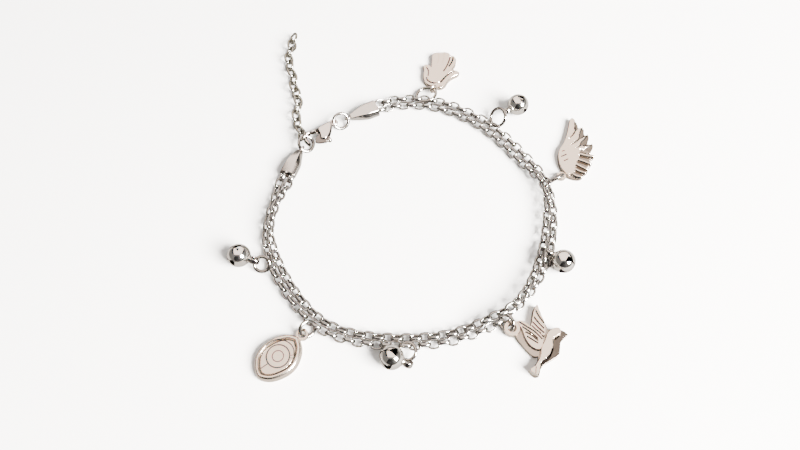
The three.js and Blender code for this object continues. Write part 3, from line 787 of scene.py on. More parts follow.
# Black flags, in metres: one stands in front of the camera's side of the table, and two hang
# beside the overhead card, each from one distance across it to another.
FRONT_FLAG = [(-0.5, -0.6, 0), (1.1, -0.6, 0), (1.1, -0.6, 0.95), (-0.5, -0.6, 0.95)]
CARD_FLAGS = {"black_flag_left": (-0.7, -0.42), "black_flag_right": (0.42, 0.7)}
CARD_FLAG_DEPTH = 0.7

ROOM_COLOUR = "#f4f1ee"
MIRRORED_TABLE_HEIGHT = 0.005     # just above the table top, so that the steel mirrors it instead


def direction(heading, height):
    """The way to a place round the anklet, from its heading and height in degrees."""
    turn, rise = math.radians(heading), math.radians(height)
    return np.array([math.cos(turn) * math.cos(rise), math.sin(turn) * math.cos(rise), math.sin(rise)])


def aim(piece, away, distance):
    """Puts a lamp or the camera that far from the middle of the loop, and turns it there."""
    piece.location = Vector(LOOP_CENTRE * MM) + away * distance
    piece.rotation_euler = (-away).to_track_quat("-Z", "Y").to_euler()


def softbox(name, away, distance, width, depth, brightness, tone):
    """A flat lamp that faces the anklet."""
    lamp = bpy.data.lights.new(name, "AREA")
    lamp.shape = "RECTANGLE"
    lamp.size, lamp.size_y = width, depth
    lamp.energy = brightness * math.pi * width * depth
    lamp.color = linear(tone)
    piece = new_object(name, lamp)
    aim(piece, Vector(away), distance)
    return piece


def panel(away, distance, left, right, depth):
    """The corners of a panel that faces the anklet, between two distances across."""
    across = unit(np.cross(away, Z))
    up = np.cross(across, away)
    middle = LOOP_CENTRE * MM + away * distance
    return [tuple(middle + across * x + up * y)
            for x, y in ((left, -depth / 2), (right, -depth / 2), (right, depth / 2), (left, depth / 2))]


def stage_sheet(name, corners, material):
    """A flat sheet that belongs to the stage."""
    mesh = bpy.data.meshes.new(name)
    mesh.from_pydata(corners, [], [(0, 1, 2, 3)])
    mesh.materials.append(material)
    sheet = new_object(name, mesh)
    return sheet


def mirrored_sheet(name, corners, material):
    """A stage sheet that is seen only where the steel mirrors it."""
    sheet = stage_sheet(name, corners, material)
    sheet.visible_camera = sheet.visible_diffuse = sheet.visible_shadow = False


class ANKLET_OT_stage(bpy.types.Operator):
    """Add the table top, the lamps, the overhead card, the black flags, the room and the camera"""
    bl_idname = "anklet.build_stage"
    bl_label = "Stage"

    def execute(self, context):
        settings = context.scene.anklet_stage
        camera = bpy.data.cameras.new("camera")
        camera.sensor_width = 36
        camera.lens = settings.lens
        camera.clip_start, camera.clip_end = 0.005, 20
        eye = new_object("camera", camera)
        aim(eye, Vector((0, -math.cos(settings.camera_height), math.sin(settings.camera_height))),
            settings.camera_distance)
        context.scene.camera = eye

        half = settings.floor_size / 2
        corners = [(-half, -half, 0), (half, -half, 0), (half, half, 0), (-half, half, 0)]
        stage_sheet("table_top", corners, matt_laminate("Matt white laminate", settings.floor_colour))
        mirrored_sheet("mirrored_table", [(x, y, MIRRORED_TABLE_HEIGHT * MM) for x, y, _ in corners],
                       matt_laminate("Matt grey laminate", settings.mirrored_colour))
        felt = black_felt()
        mirrored_sheet("black_flag_front", FRONT_FLAG, felt)
        heading, height, distance = LAMPS["overhead_card"][:3]
        for name, (left, right) in CARD_FLAGS.items():
            corners = panel(direction(heading, height), distance, left, right, CARD_FLAG_DEPTH)
            mirrored_sheet(name, corners, felt)

        for name, (heading, height, distance, width, depth, setting, tone, shown_in) in LAMPS.items():
            lamp = softbox(name, direction(heading, height), distance, width, depth,
                           getattr(settings, setting), tone)
            lamp.visible_diffuse = shown_in == "diffuse"
            lamp.visible_glossy = shown_in == "glossy"

        world = bpy.data.worlds.new("room")
        world.use_nodes = True
        world.node_tree.nodes.clear()
        light = add_node(world.node_tree, "ShaderNodeBackground",
                         {"Color": (*linear(ROOM_COLOUR), 1), "Strength": settings.room})
        add_node(world.node_tree, "ShaderNodeOutputWorld", None, {"Surface": light.outputs["Background"]})
        context.scene.world = world
        return {"FINISHED"}


# ---------------------------------------------------------------- rings, and places on them

RING_SEAM = 150         # where round a jump ring its seam is, in degrees
RING_STATIONS = 73      # sections along a jump ring's wire


def ring_turn(name):
    """The turn of a jump ring, which lies flat before it."""
    _, _, toward, lean = RINGS[name]
    return turn_about("Z", toward) @ turn_about("Y", lean)


def ring_wire_at(name, degrees):
    """A point on the middle of a ring's wire, and the wire's direction there."""
    at, radius, _, _ = RINGS[name]
    swing = math.radians(degrees)
    turn = ring_turn(name)
    spoke = turn @ [math.cos(swing), math.sin(swing), 0]
    return np.array(at) + spoke * radius, turn @ [-math.sin(swing), math.cos(swing), 0]


class ANKLET_OT_rings(bpy.types.Operator):
    """Add the ten jump rings, each closed at a fine seam"""
    bl_idname = "anklet.build_rings"
    bl_label = "Jump rings"

    def execute(self, context):
        settings = context.scene.anklet_findings
        steel = jump_ring_steel(settings.ring_colour)
        wire = size(settings.ring_wire) / 2
        for name, (at, radius, _, _) in RINGS.items():
            seam = size(settings.ring_gap) / radius
            sweep = np.linspace(seam / 2, 2 * math.pi - seam / 2, RING_STATIONS)
            path = np.column_stack([np.cos(sweep), np.sin(sweep)]) * radius
            ring = bent_wire(path, wire_section(wire), closed=False)
            ring = placed(ring, ring_turn(name) @ turn_about("Z", RING_SEAM), at)
            show(f"{name}_wire", ring, steel, [name])
        return {"FINISHED"}


# ---------------------------------------------------------------- chain

# How much of a pitch a strand's last link may lie past the end of its path.
END_SHARE = 0.4

# A link is only drawn to a ring that is more than this many links from the last such place.
FEWEST_LINKS = 3


def strand_path(side):
    """The line that one strand follows, as close points. side is 1 for the outer strand."""
    x, y, spread, outer, inner = np.transpose(ROUTE)
    middle = np.column_stack([x, y])
    ahead_x, ahead_y = unit(np.vstack([middle[1:], middle[-1:]]) - np.vstack([middle[:1], middle[:-1]])).T
    shift = side * spread / 2
    return smooth_path(np.column_stack([x + ahead_y * shift, y - ahead_x * shift,
                                        outer if side > 0 else inner]))


def oval_link(outer_length, outer_width, wire, squareness, around, section):
    """One link, lying in X and Y with its length along X."""
    turn = np.linspace(0, 2 * math.pi, 400, endpoint=False)
    path = squared_oval(turn, outer_length - wire, outer_width - wire, squareness)
    return bent_wire(evenly(path, around), section)


def link_marks(path, pitch, flat, crossed):
    """Where each link sits along a path, and the first link's number. Even links sit at the
    distances in flat, and some link sits at each of those in crossed."""
    knots = []
    for at in flat:
        number, start = knots[-1] if knots else (0, 0)
        knots.append((number + 2 * round((at - start) / pitch / 2), at))
    for at in sorted(crossed, key=lambda mark: min(abs(mark - other) for other in flat)):
        number, start = min(knots, key=lambda knot: abs(knot[1] - at))
        ahead = round((at - start) / pitch)
        if abs(ahead) > FEWEST_LINKS:
            knots.append((number + ahead, at))
    knots.sort()
    before = int(knots[0][1] / pitch + END_SHARE)
    after = int((distances_along(path)[-1] - knots[-1][1]) / pitch + END_SHARE)
    knots = [(knots[0][0] - before, knots[0][1] - before * pitch), *knots,
             (knots[-1][0] + after, knots[-1][1] + after * pitch)]
    numbers = np.arange(knots[0][0], knots[-1][0] + 1)
    return np.interp(numbers, *zip(*knots)), numbers[0]


def chain_frames(path, marks, roll, half_width, half_depth, first=0):
    """Each link's middle and its turn, with odd links rolled by a quarter turn, and none of them
    below the table top."""
    total = distances_along(path)[-1]
    reach = (marks[1] - marks[0]) / 2
    frames = []
    for number, mark in enumerate(marks, first):
        behind, middle, ahead = points_at(path, [mark - reach, mark, mark + reach])
        along = unit(ahead - behind)
        side = unit(np.cross(Z, along))
        degrees = np.interp(mark / total, *zip(*roll)) + 90 * (number % 2)
        turn = np.column_stack([along, side, np.cross(along, side)]) @ turn_about("X", degrees)
        rise, rest = abs(math.sin(math.radians(degrees))), abs(math.cos(math.radians(degrees)))
        middle[2] = max(middle[2], half_width * rise + half_depth * rest,
                        half_width * rest + half_depth * rise)
        frames.append((turn, middle))
    return frames


def ring_crossings(path):
    """The distances along a strand at which the charms' and bells' rings pass through it."""
    found = []
    for name in RINGS:
        if name not in ("ring_a", "ring_b"):
            wire = np.array([ring_wire_at(name, degrees)[0] for degrees in range(0, 360, 4)])
            gaps = np.linalg.norm(path[:, None] - wire, axis=2).min(1)
            found.append(distances_along(path)[gaps.argmin()])
    return found


class ANKLET_OT_chain(bpy.types.Operator):
    """Add the two strands of cable chain, link by link"""
    bl_idname = "anklet.build_chain"
    bl_label = "Cable chain"

    def execute(self, context):
        settings = context.scene.anklet_chain
        steel = drawn_wire_steel("Drawn stainless wire", settings.wire_colour)
        wire, depth, width = size(settings.wire), size(settings.wire_depth), size(settings.link_width)
        section = rolled_section(wire, depth, sides=20, squareness=2.2)
        link = oval_link(size(settings.link_length), width, wire, 2.4, 32, section)
        for column, (name, side) in enumerate((("strand_outer", 1), ("strand_inner", -1)), 1):
            path = strand_path(side)
            flat = [distances_along(path)[np.linalg.norm(path[:, :2] - spot, axis=1).argmin()]
                    for spot in FLAT_LINKS[name]]
            crossed = ring_crossings(path) if side > 0 else []
            marks, first = link_marks(path, size(settings.pitch), flat, crossed)
            frames = chain_frames(path, marks, ROLL[:, [0, column]], width / 2, depth / 2, first)
            links = [placed(link, turn, at) for turn, at in frames]
            show(f"{name}_links", joined(links), steel, [name])
        return {"FINISHED"}


class ANKLET_OT_extender(bpy.types.Operator):
    """Add the fifteen links of the extender chain"""
    bl_idname = "anklet.build_extender"
    bl_label = "Extender chain"

    def execute(self, context):
        settings = context.scene.anklet_chain
        steel = drawn_wire_steel("Nickel-toned stainless wire", settings.extender_colour)
        wire, width = size(settings.extender_wire), size(settings.extender_width)
        link = oval_link(size(settings.extender_length), width, wire, 2.2, 40, wire_section(wire / 2))
        path = smooth_path(EXTENDER_ROUTE)
        nodes = sorted(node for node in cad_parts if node.startswith("extender_link_"))
        marks = np.arange(len(nodes)) * size(settings.extender_pitch)
        frames = chain_frames(path, marks, EXTENDER_ROLL, width / 2, wire / 2)
        for node, (turn, at) in zip(nodes, frames):
            show(f"{node}_wire", placed(link, turn, at), steel, [node])
        return {"FINISHED"}


# ---------------------------------------------------------------- end caps

# Sections of an end cap along X: distance, half width, half height, and how far the top's edges
# are cut in and down.
CAP_SECTIONS = [
    [0.7, 0.62, 0.5, 0.14, 0.14],
    [0.95, 0.78, 0.75, 0.14, 0.18],
    [2.3, 1.25, 1.1, 0.32, 0.45],
    [4.1, 1.95, 1.42, 0.65, 0.85],
    [5.2, 2.35, 1.52, 0.88, 1.0],
    [6.0, 2.42, 1.55, 0.9, 1.0],
    [8.9, 2.45, 1.55, 0.9, 1.0],
    [9.0, 2.4, 1.5, 0.9, 1.0],
]
# The hollow of the mouth, in the same columns.
CAP_MOUTH = [
    [9.0, 2.1, 1.2, 0.7, 0.75],
    [8.9, 2.05, 1.15, 0.7, 0.75],
    [7.6, 2.05, 1.15, 0.7, 0.75],
]
CAP_EYE = (0.75, 0.34)          # mean radius of the eye, and its wire's radius
FOLD_SOFTNESS = 0.12            # how far from a fold it starts to round


def bevelled_section(station):
    """A rectangle with its corners cut and each cut's ends softened, at a place along X."""
    x, width, height, cut_in, cut_down = station
    corners = []
    for sy, sz in ((1, 1), (-1, 1), (-1, -1), (1, -1)):
        ends = [(sy * width, sz * (height - cut_down)), (sy * (width - cut_in), sz * height)]
        corners += ends if sy * sz > 0 else ends[::-1]
    soft = []
    for before, here, after in zip([corners[-1], *corners], corners, [*corners[1:], corners[0]]):
        before, here, after = np.array(before), np.array(here), np.array(after)
        pull = min(FOLD_SOFTNESS, *(np.linalg.norm(other - here) * 0.3 for other in (before, after)))
        start, end = here + unit(before - here) * pull, here + unit(after - here) * pull
        for share in (0, 0.5, 1):
            soft.append((1 - share) ** 2 * start + 2 * share * (1 - share) * here + share ** 2 * end)
    return np.column_stack([np.full(len(soft), x), np.array(soft)])


class ANKLET_OT_caps(bpy.types.Operator):
    """Add the two folded end caps"""
    bl_idname = "anklet.build_caps"
    bl_label = "End caps"

    def execute(self, context):
        settings = context.scene.anklet_findings
        steel = pressed_sheet_steel(settings.cap_colour)
        stretch = size(settings.cap_length) / CAP_SECTIONS[-1][0]
        body = skin([bevelled_section(station) * [stretch, 1, 1] for station in CAP_SECTIONS + CAP_MOUTH])
        for name, (ring, degrees, mouth, roll) in CAPS.items():
            at, wire_way = ring_wire_at(ring, degrees)
            axis = unit(np.array(mouth) - at)
            heading = math.degrees(math.atan2(axis[1], axis[0]))
            turn = turn_about("Z", heading) @ turn_about("Y", -math.degrees(math.asin(axis[2])))
            turn = turn @ turn_about("X", roll)
            eye = placed(torus(*CAP_EYE), turn_between(Z, turn.T @ wire_way), [0, 0, 0])
            cap = placed(combine(body, [eye], "UNION"), turn, at)
            piece = show(f"{name}_sleeve", cap, steel, [name], sharp=40)
            true_faces = piece.modifiers.new("true_faces", "WEIGHTED_NORMAL")
            true_faces.keep_sharp = True
        return {"FINISHED"}


# ---------------------------------------------------------------- lobster clasp

# The clasp in its own frame: its eye at the origin, +X to the claw and +Y to the lever's side. An
# outline is a list of smooth stretches, each from where the last one ended.
CLASP_OUTLINE = [
    [[0.7, -0.6], [2.0, -0.75], [4.4, -0.55], [6.8, -0.5], [8.6, -0.6], [9.9, 0.3], [10.25, 1.8],
     [9.9, 3.4]],
    [[9.4, 3.7], [8.95, 3.3]],
    [[9.05, 2.5], [9.1, 1.6], [8.85, 0.8], [8.1, 0.4], [6.9, 0.5], [6.0, 0.75], [5.6, 1.4], [5.6, 2.2]],
    [[5.9, 3.1], [5.6, 3.8]],
    [[4.7, 4.2], [3.6, 3.9], [2.4, 3.0], [1.4, 1.7], [0.7, 0.6]],
    [[0.7, -0.6]],
]
CLASP_DRAWN_LENGTH = 9.7        # the length that the outline is drawn for
CLASP_EDGE = 0.75               # radius of the body's rounded edges
CLASP_EYE = (0.82, 0.4)         # mean radius of the eye, and its wire's radius
# The steps between the clasp's body and its hook, cut into both faces, each a line with its half
# width and depth; the last one is the saddle that ring A lies in.
CLASP_STEPS = [
    ([[4.9, -0.6], [5.4, 0.4], [5.6, 1.6]], 0.5, -0.62),
    ([[7.2, -0.5], [7.5, 0.2], [7.3, 0.9]], 0.22, -0.4),
    ([[9.0, 0.75], [9.6, 0.5], [10.3, 0.55]], 0.55, -0.5),
]
# The slot that the lever turns in: half its width, and what it opens round the pin and above it.
SLOT_HALF = 0.475
SLOT_RADIUS = 1.4
SLOT_CORNERS = np.array([[2.8, 1.2], [6.3, 1.2], [6.3, 5.0], [2.8, 5.0]])
# From here out from the middle plane a face is bright, and inside it shade is painted over the flanks.
BRIGHT_FROM, DARK_OVER = 0.76, 0.14
CLASP_NECK = 0.9                # nearer the eye than this no shade is painted on the flanks

LEVER_OUTLINE = [
    [[4.0, 1.3], [5.1, 1.45], [6.3, 1.95], [7.2, 2.4]],
    [[7.3, 2.95], [7.65, 3.55]],
    [[7.1, 4.2], [6.0, 4.75], [4.6, 5.1], [3.7, 4.9], [3.2, 4.2], [3.1, 3.0], [3.3, 2.0], [4.0, 1.3]],
]
LEVER_PIVOT = np.array([4.3, 2.15])
LEVER_KNOB = np.array([3.75, 4.85])
KNOB_RADIUS, KNOB_HALF, KNOB_EDGE = 0.62, 0.7, 0.5
LEVER_HALF, LEVER_EDGE = 0.35, 0.25
PIN_RADIUS, PIN_HOLE, PIN_SUNK = 0.3, 0.42, 0.02
LEVER_SHADE = 0.8              # how dark the shade painted on the lever is, apart from its knob


PILLOW_STEP = 0.14              # spacing of the points on the clasp's faces


def stretches(rows):
    """A closed outline made of smooth stretches, each from where the last one ended."""
    starts = [rows[0][:1], *([row[-1]] for row in rows)]
    rows = [rows[0][1:], *rows[1:]]
    return np.concatenate([smooth_path(start + row)[:-1] for start, row in zip(starts, rows)])


def bar(start, end, half):
    """A straight bar's outline with round ends, anticlockwise."""
    lean = math.atan2(*(end - start)[::-1])
    sweep = lean + np.linspace(-math.pi / 2, math.pi / 2, 15)
    cap = half * np.column_stack([np.cos(sweep), np.sin(sweep)])
    return np.vstack([end + cap, start - cap])


def slab(outline, low, high):
    """A plain flat piece with that outline."""
    return skin([level(outline, low), level(outline, high)])


def pillow(outline, half, radius, steps=()):
    """A solid that is full in the middle and rounded off towards its outline on both faces, with
    steps cut into them."""
    rim = min(radius, half * 0.98)
    thinnest = 0.02

    def top(points, gap):
        cuts = grooves(points, steps) if steps else 0
        return np.maximum(half - rounded(gap, rim) * half / radius + cuts, thinnest), None

    def bottom(points, gap):
        return -top(points, gap)[0]

    return relief(outline, top, PILLOW_STEP, bottom)


def clasp_turn():
    """The clasp's place: its eye, and the turn that takes +X to the claw."""
    eye, _ = ring_wire_at("ring_b", CLASP_ON_RING_B)
    heading = math.atan2(CLASP_CLAW[1] - eye[1], CLASP_CLAW[0] - eye[0])
    return eye, turn_about("Z", math.degrees(heading))


class ANKLET_OT_clasp(bpy.types.Operator):
    """Add the lobster clasp's body and its sprung lever"""
    bl_idname = "anklet.build_clasp"
    bl_label = "Lobster clasp"

    def execute(self, context):
        settings = context.scene.anklet_findings
        steel = cast_clasp_steel(settings.clasp_colour, settings.clasp_shade_colour)
        stretch = size(settings.clasp_length) / CLASP_DRAWN_LENGTH
        half = size(settings.clasp_thickness) / 2
        at, turn = clasp_turn()
        body = pillow(stretches(CLASP_OUTLINE) * stretch, half, CLASP_EDGE, CLASP_STEPS)
        rooms = [slab(room, -SLOT_HALF, SLOT_HALF)
                 for room in (circle(SLOT_RADIUS, 32, LEVER_PIVOT), SLOT_CORNERS)]
        body = combine(combine(body, rooms, "DIFFERENCE"), [torus(*CLASP_EYE)], "UNION")
        pin = slab(circle(PIN_RADIUS, 24, LEVER_PIVOT), -half + PIN_SUNK, half - PIN_SUNK)
        body = combine(body, [pin], "UNION")
        piece = show("clasp_casting", placed(body, turn, at), steel, ["clasp_body"],
                     sharp=50)
        # Shade is painted over the body's flanks and deep steps, near its middle plane, away from the eye.
        x, _, z = body[0].T
        paint_shade(piece, ease((BRIGHT_FROM - abs(z)) / DARK_OVER) * (x > CLASP_NECK))

        arm = pillow(stretches(LEVER_OUTLINE), LEVER_HALF, LEVER_EDGE)
        knob = pillow(circle(KNOB_RADIUS, 60, LEVER_KNOB), KNOB_HALF, KNOB_EDGE)
        lever = combine(arm, [knob], "UNION")
        lever = combine(lever, [slab(circle(PIN_HOLE, 24, LEVER_PIVOT), -1, 1)], "DIFFERENCE")
        piece = show("clasp_thumb_lever", placed(lever, turn, at), steel, ["clasp_lever"],
                     body="lever", sharp=50)
        # Shade is painted over the lever, apart from its knob's faces.
        paint_shade(piece, LEVER_SHADE * (abs(lever[0][:, 2]) < LEVER_HALF + 0.05))
        return {"FINISHED"}


# ---------------------------------------------------------------- charms

# Each charm is drawn in its own frame, with its loop at the origin and its length along +Y. Lines
# that are drawn into a face each have a half width and a depth, and so have raised bars a height.

HAND_OUTLINE = [
    [[-0.6, 0.3], [-2.6, 0.5], [-4.6, 1.4], [-5.5, 3.4], [-5.8, 5.8], [-6.3, 7.6]],
    [[-5.6, 8.2], [-4.5, 8.1], [-3.8, 7.5]],
    [[-4.1, 10.2], [-4.3, 12.3], [-3.5, 13.3], [-2.1, 13.6]],
    [[-0.7, 14.2], [0.6, 13.9], [1.2, 13.2]],
    [[2.3, 13.0], [3.1, 11.8], [3.2, 10.2], [2.4, 7.7]],
    [[3.6, 7.7], [4.8, 7.1], [4.4, 6.1]],
    [[3.0, 4.9], [2.0, 3.4], [1.4, 1.6], [0.4, 0.5], [-0.6, 0.3]],
]
HAND_LINES = [
    ([[-4.6, 3.2], [-4.2, 2.4], [-3.1, 1.7], [-2.1, 1.55]], 0.24, -0.35),
    ([[-2.1, 1.55], [-0.8, 1.8], [-0.1, 2.3]], 0.2, -0.26),
    ([[-0.1, 2.3], [0.4, 3.3], [0.9, 4.4], [1.8, 5.8], [3.1, 7.1]], 0.26, -0.4),
    ([[-5.2, 7.0], [-4.6, 6.2], [-4.3, 5.2], [-4.2, 4.0]], 0.2, -0.16),
    ([[1.2, 12.7], [1.1, 11.1], [0.9, 9.6], [0.5, 7.8], [0.1, 6.6]], 0.19, -0.26),
    ([[2.1, 12.4], [2.1, 11.2], [1.8, 9.9], [1.4, 8.8]], 0.22, -0.34),
    ([[-0.8, 13.6], [-0.7, 11.6], [-0.7, 9.4]], 0.13, -0.07),
    ([[-2.4, 13.2], [-2.2, 11.2], [-2.2, 9.2]], 0.13, -0.07),
]

HAND_ON_RING = -103                         # where round its ring the bail hangs, in degrees
HAND_BAIL = (0.95, 0.36)                    # mean radius of the bail, and its wire's radius
HAND_STEM = ([0.3, 0.95], [0.55, 1.9])      # the stem's ends, from the middle of the bail
HAND_BEAD, HAND_BEAD_AT = 0.72, [0.15, 0.3, 1.4]

WING_OUTLINE = [
    [[-0.4, 1.4], [-2.0, 2.9], [-3.6, 5.2], [-4.3, 7.2], [-4.3, 9.6], [-4.8, 12.8], [-5.7, 15.9],
     [-6.5, 18.4]],
    [[-6.1, 19.1], [-5.4, 19.0]],
    [[-4.1, 18.2], [-3.1, 17.0]],
    [[-2.4, 17.8], [-1.6, 17.4], [-0.7, 15.9]],
    [[0.1, 16.4], [0.9, 15.6], [1.4, 13.6]],
    [[2.5, 14.2], [3.2, 13.6], [3.5, 11.2]],
    [[4.5, 11.2], [5.0, 10.5], [4.4, 8.9]],
    [[5.3, 8.4], [5.4, 7.4], [4.8, 6.2]],
    [[5.5, 5.4], [5.4, 4.3], [4.9, 3.4]],
    [[5.1, 2.6], [4.2, 1.5], [2.7, 0.9], [1.2, 0.8], [-0.4, 1.4]],
]
# The smooth shoulder of the wing, which its feathers grow out of.
WING_SHOULDER = [
    [-0.2, 1.6], [-2.0, 2.9], [-3.8, 5.2], [-4.6, 9.0], [-6.7, 18.4], [-5.6, 19.4], [-4.6, 17.4],
    [-3.6, 15.7], [-2.3, 17.9], [-1.9, 14.8], [-0.9, 13.9], [0.2, 16.3], [-0.1, 13.0], [0.9, 11.9],
    [2.8, 14.0], [1.6, 11.2], [0.9, 9.3], [1.6, 7.8], [1.5, 6.2], [2.0, 4.3], [2.4, 2.6], [1.2, 1.2],
]
# Upper feathers: the crest that a face falls away from, and the rest of that face's outline.
WING_FACES = [
    ([[-5.3, 18.9], [-4.3, 17.0], [-3.6, 15.8], [-3.5, 14.0], [-3.7, 12.0]],
     [[-3.2, 14.0], [-3.2, 15.6], [-3.0, 17.2], [-4.0, 18.6]]),
    ([[-2.3, 17.9], [-2.2, 16.1], [-1.9, 14.8], [-1.5, 13.7], [-1.9, 12.2], [-2.5, 10.4]],
     [[-1.5, 11.8], [-1.0, 13.6], [-0.6, 15.8], [-1.4, 17.7]]),
    ([[0.1, 16.5], [-0.1, 14.4], [-0.4, 12.8], [-0.2, 11.8], [-0.8, 10.2]],
     [[0.2, 11.4], [0.8, 12.6], [1.5, 13.5], [1.0, 15.8]]),
    ([[2.6, 14.3], [2.1, 12.7], [1.3, 11.3], [0.4, 10.5]],
     [[1.5, 10.1], [2.6, 10.5], [3.7, 11.2], [3.4, 13.8]]),
]
# Lower feathers, each a round bar: its line, half width and height.
WING_BARS = [
    ([[0.9, 9.1], [2.6, 9.6], [4.6, 10.4]], 0.75, 0.85),
    ([[1.7, 7.3], [3.2, 7.6], [5.0, 7.8]], 0.72, 0.8),
    ([[1.8, 5.6], [3.2, 5.6], [5.0, 5.6]], 0.7, 0.8),
    ([[2.2, 4.0], [3.4, 4.0], [5.0, 4.3]], 0.65, 0.75),
    ([[2.4, 2.3], [3.4, 2.2], [4.8, 2.6]], 0.7, 0.7),
]
WING_DASHES = [
    ([[-3.4, 7.2], [-3.0, 7.7]], 0.2, -0.14),
    ([[-2.8, 5.5], [-2.0, 6.8]], 0.22, -0.16),
    ([[-1.5, 4.6], [-0.9, 5.7]], 0.2, -0.16),
]

BIRD_OUTLINE = [
    [[-2.1, 0.7], [-2.6, 1.8], [-2.3, 3.1], [-1.9, 4.1]],
    [[-3.0, 4.1], [-5.1, 3.8], [-6.8, 3.7], [-8.0, 4.2]],
    [[-6.5, 5.6], [-4.6, 7.2], [-2.9, 8.5]],
    [[-3.7, 9.7], [-4.0, 11.0], [-3.9, 12.4], [-3.4, 13.5]],
    [[-2.4, 12.9], [-0.9, 12.2], [0.6, 12.4], [2.2, 12.5], [3.8, 11.5], [5.6, 10.0], [7.0, 9.3], [9.0, 9.3]],
    [[9.5, 8.4], [8.6, 6.6]],
    [[6.9, 7.6], [5.4, 8.0], [4.4, 7.9]],
    [[4.8, 7.0], [4.3, 5.4], [2.9, 3.2], [1.4, 1.4], [-0.4, 0.6], [-2.1, 0.7]],
]
BIRD_BODY = [
    [-0.1, 8.3], [-1.3, 8.3], [-2.5, 8.8], [-3.7, 10.0], [-3.7, 11.1], [-2.8, 11.5], [-1.5, 10.6],
    [-0.6, 10.0], [0.6, 10.3], [1.6, 10.6], [3.2, 10.3], [4.8, 9.5], [6.1, 8.8], [7.4, 8.9],
    [9.1, 8.8], [9.2, 8.0], [8.6, 6.7], [7.1, 7.6], [5.6, 8.0], [4.4, 8.2], [3.0, 7.9], [1.6, 8.0],
]
BIRD_UPPER_WING = [
    [-8.1, 4.2], [-6.2, 3.8], [-4.1, 3.9], [-2.6, 3.9], [-1.7, 4.5], [-1.4, 5.6], [-0.9, 6.6],
    [-0.7, 7.9], [-1.7, 8.0], [-4.0, 7.2], [-5.7, 6.0], [-7.2, 4.9],
]
BIRD_LOWER_WING = [
    [-2.0, 0.6], [-2.6, 1.1], [-2.5, 3.1], [-1.9, 4.7], [-1.0, 6.6], [-0.1, 7.8], [1.0, 8.1],
    [2.3, 8.0], [3.0, 7.7], [3.2, 6.5], [2.6, 4.9], [1.4, 3.6], [-0.4, 2.3], [-1.3, 1.3],
]
BIRD_LINES = [
    ([[-6.4, 4.2], [-5.2, 5.3], [-3.9, 6.9]], 0.2, -0.3),
    ([[-4.6, 4.2], [-3.6, 5.5], [-2.6, 7.2]], 0.2, -0.34),
    ([[-3.2, 4.3], [-2.3, 5.8], [-1.5, 7.5]], 0.2, -0.34),
    ([[-2.2, 4.4], [-1.6, 5.4], [-1.1, 6.8]], 0.18, -0.28),
    ([[-2.0, 1.2], [-1.5, 3.2], [-0.9, 5.4], [0.2, 7.5]], 0.2, -0.3),
    ([[-1.1, 2.2], [-0.5, 4.2], [0.4, 6.4]], 0.2, -0.3),
    ([[-0.1, 3.2], [0.2, 4.9], [0.9, 6.6]], 0.19, -0.26),
    ([[0.9, 4.0], [1.3, 5.6], [1.6, 6.8]], 0.18, -0.22),
    ([[-2.2, 11.3], [-1.7, 11.0], [-1.2, 10.7]], 0.16, -0.5),
    ([[1.4, 10.6], [3.3, 10.4], [4.9, 9.7], [6.4, 9.0]], 0.3, -0.75),
    ([[8.9, 8.2], [7.9, 8.0], [7.3, 7.9]], 0.14, -0.1),
]

EYE_OUTLINE = [
    [[0.1, 0.9], [2.4, 2.1], [4.2, 4.5], [5.15, 7.6], [5.1, 9.7], [4.4, 11.6], [3.2, 13.0], [1.5, 14.2],
     [0.2, 14.55], [-1.2, 14.1], [-2.8, 12.8], [-4.0, 10.8], [-4.7, 8.6], [-4.7, 6.6], [-4.0, 4.6],
     [-2.5, 2.5], [0.1, 0.9]],
]
EYE_MIDDLE = [0.35, 7.7]
EYE_LINES = [
    ([[4.1, 10.0], [4.3, 8.4], [4.1, 6.4], [3.3, 5.0], [2.0, 4.0], [0.2, 3.6], [-1.2, 4.0], [-2.2, 4.8]],
     0.2, -0.16),
    ([[1.0, 13.0], [-0.6, 12.8], [-1.9, 11.7], [-3.0, 9.9], [-3.6, 8.0], [-3.4, 6.2]], 0.18, -0.12),
    ([[0.8, 10.6], [1.2, 12.4]], 0.18, -0.16),
    ([[-1.8, 5.5], [-2.5, 4.8], [-2.9, 5.3], [-2.2, 6.0]], 0.14, -0.12),
]


# Fine drawn lines are cut to this share of their depth, and shade painted along them draws the rest.
DRAWN_DEPTH = 0.25

# A flat loop's section, with softened edges, one wide and one high. Columns: outward, up.
SOFT_SQUARE = np.array([[0.5, -0.36], [0.5, 0.36], [0.36, 0.5], [-0.36, 0.5],
                        [-0.5, 0.36], [-0.5, -0.36], [-0.36, -0.5], [0.36, -0.5]])


def flat_loop(outer, hole, low, high):
    """A thick flat loop round the charm's origin, from its radii and heights."""
    section = SOFT_SQUARE * [outer - hole, high - low]
    points, faces = bent_wire(circle((outer + hole) / 2, 56), section)
    return points + [0, 0, (high + low) / 2], faces


def hand_top(points, gap):
    """The hand's face: gently crowned, with grooves inside its edge and between its fingers."""
    edge_height, crown, crown_from, rim = 1.45, 0.14, 2.5, 0.22
    cuts = grooves(points, HAND_LINES)
    height = edge_height + crown * ease(gap / crown_from) + cuts - rounded(gap, rim)
    # Shade is painted into the grooves.
    return height, ease(-cuts / 0.2)


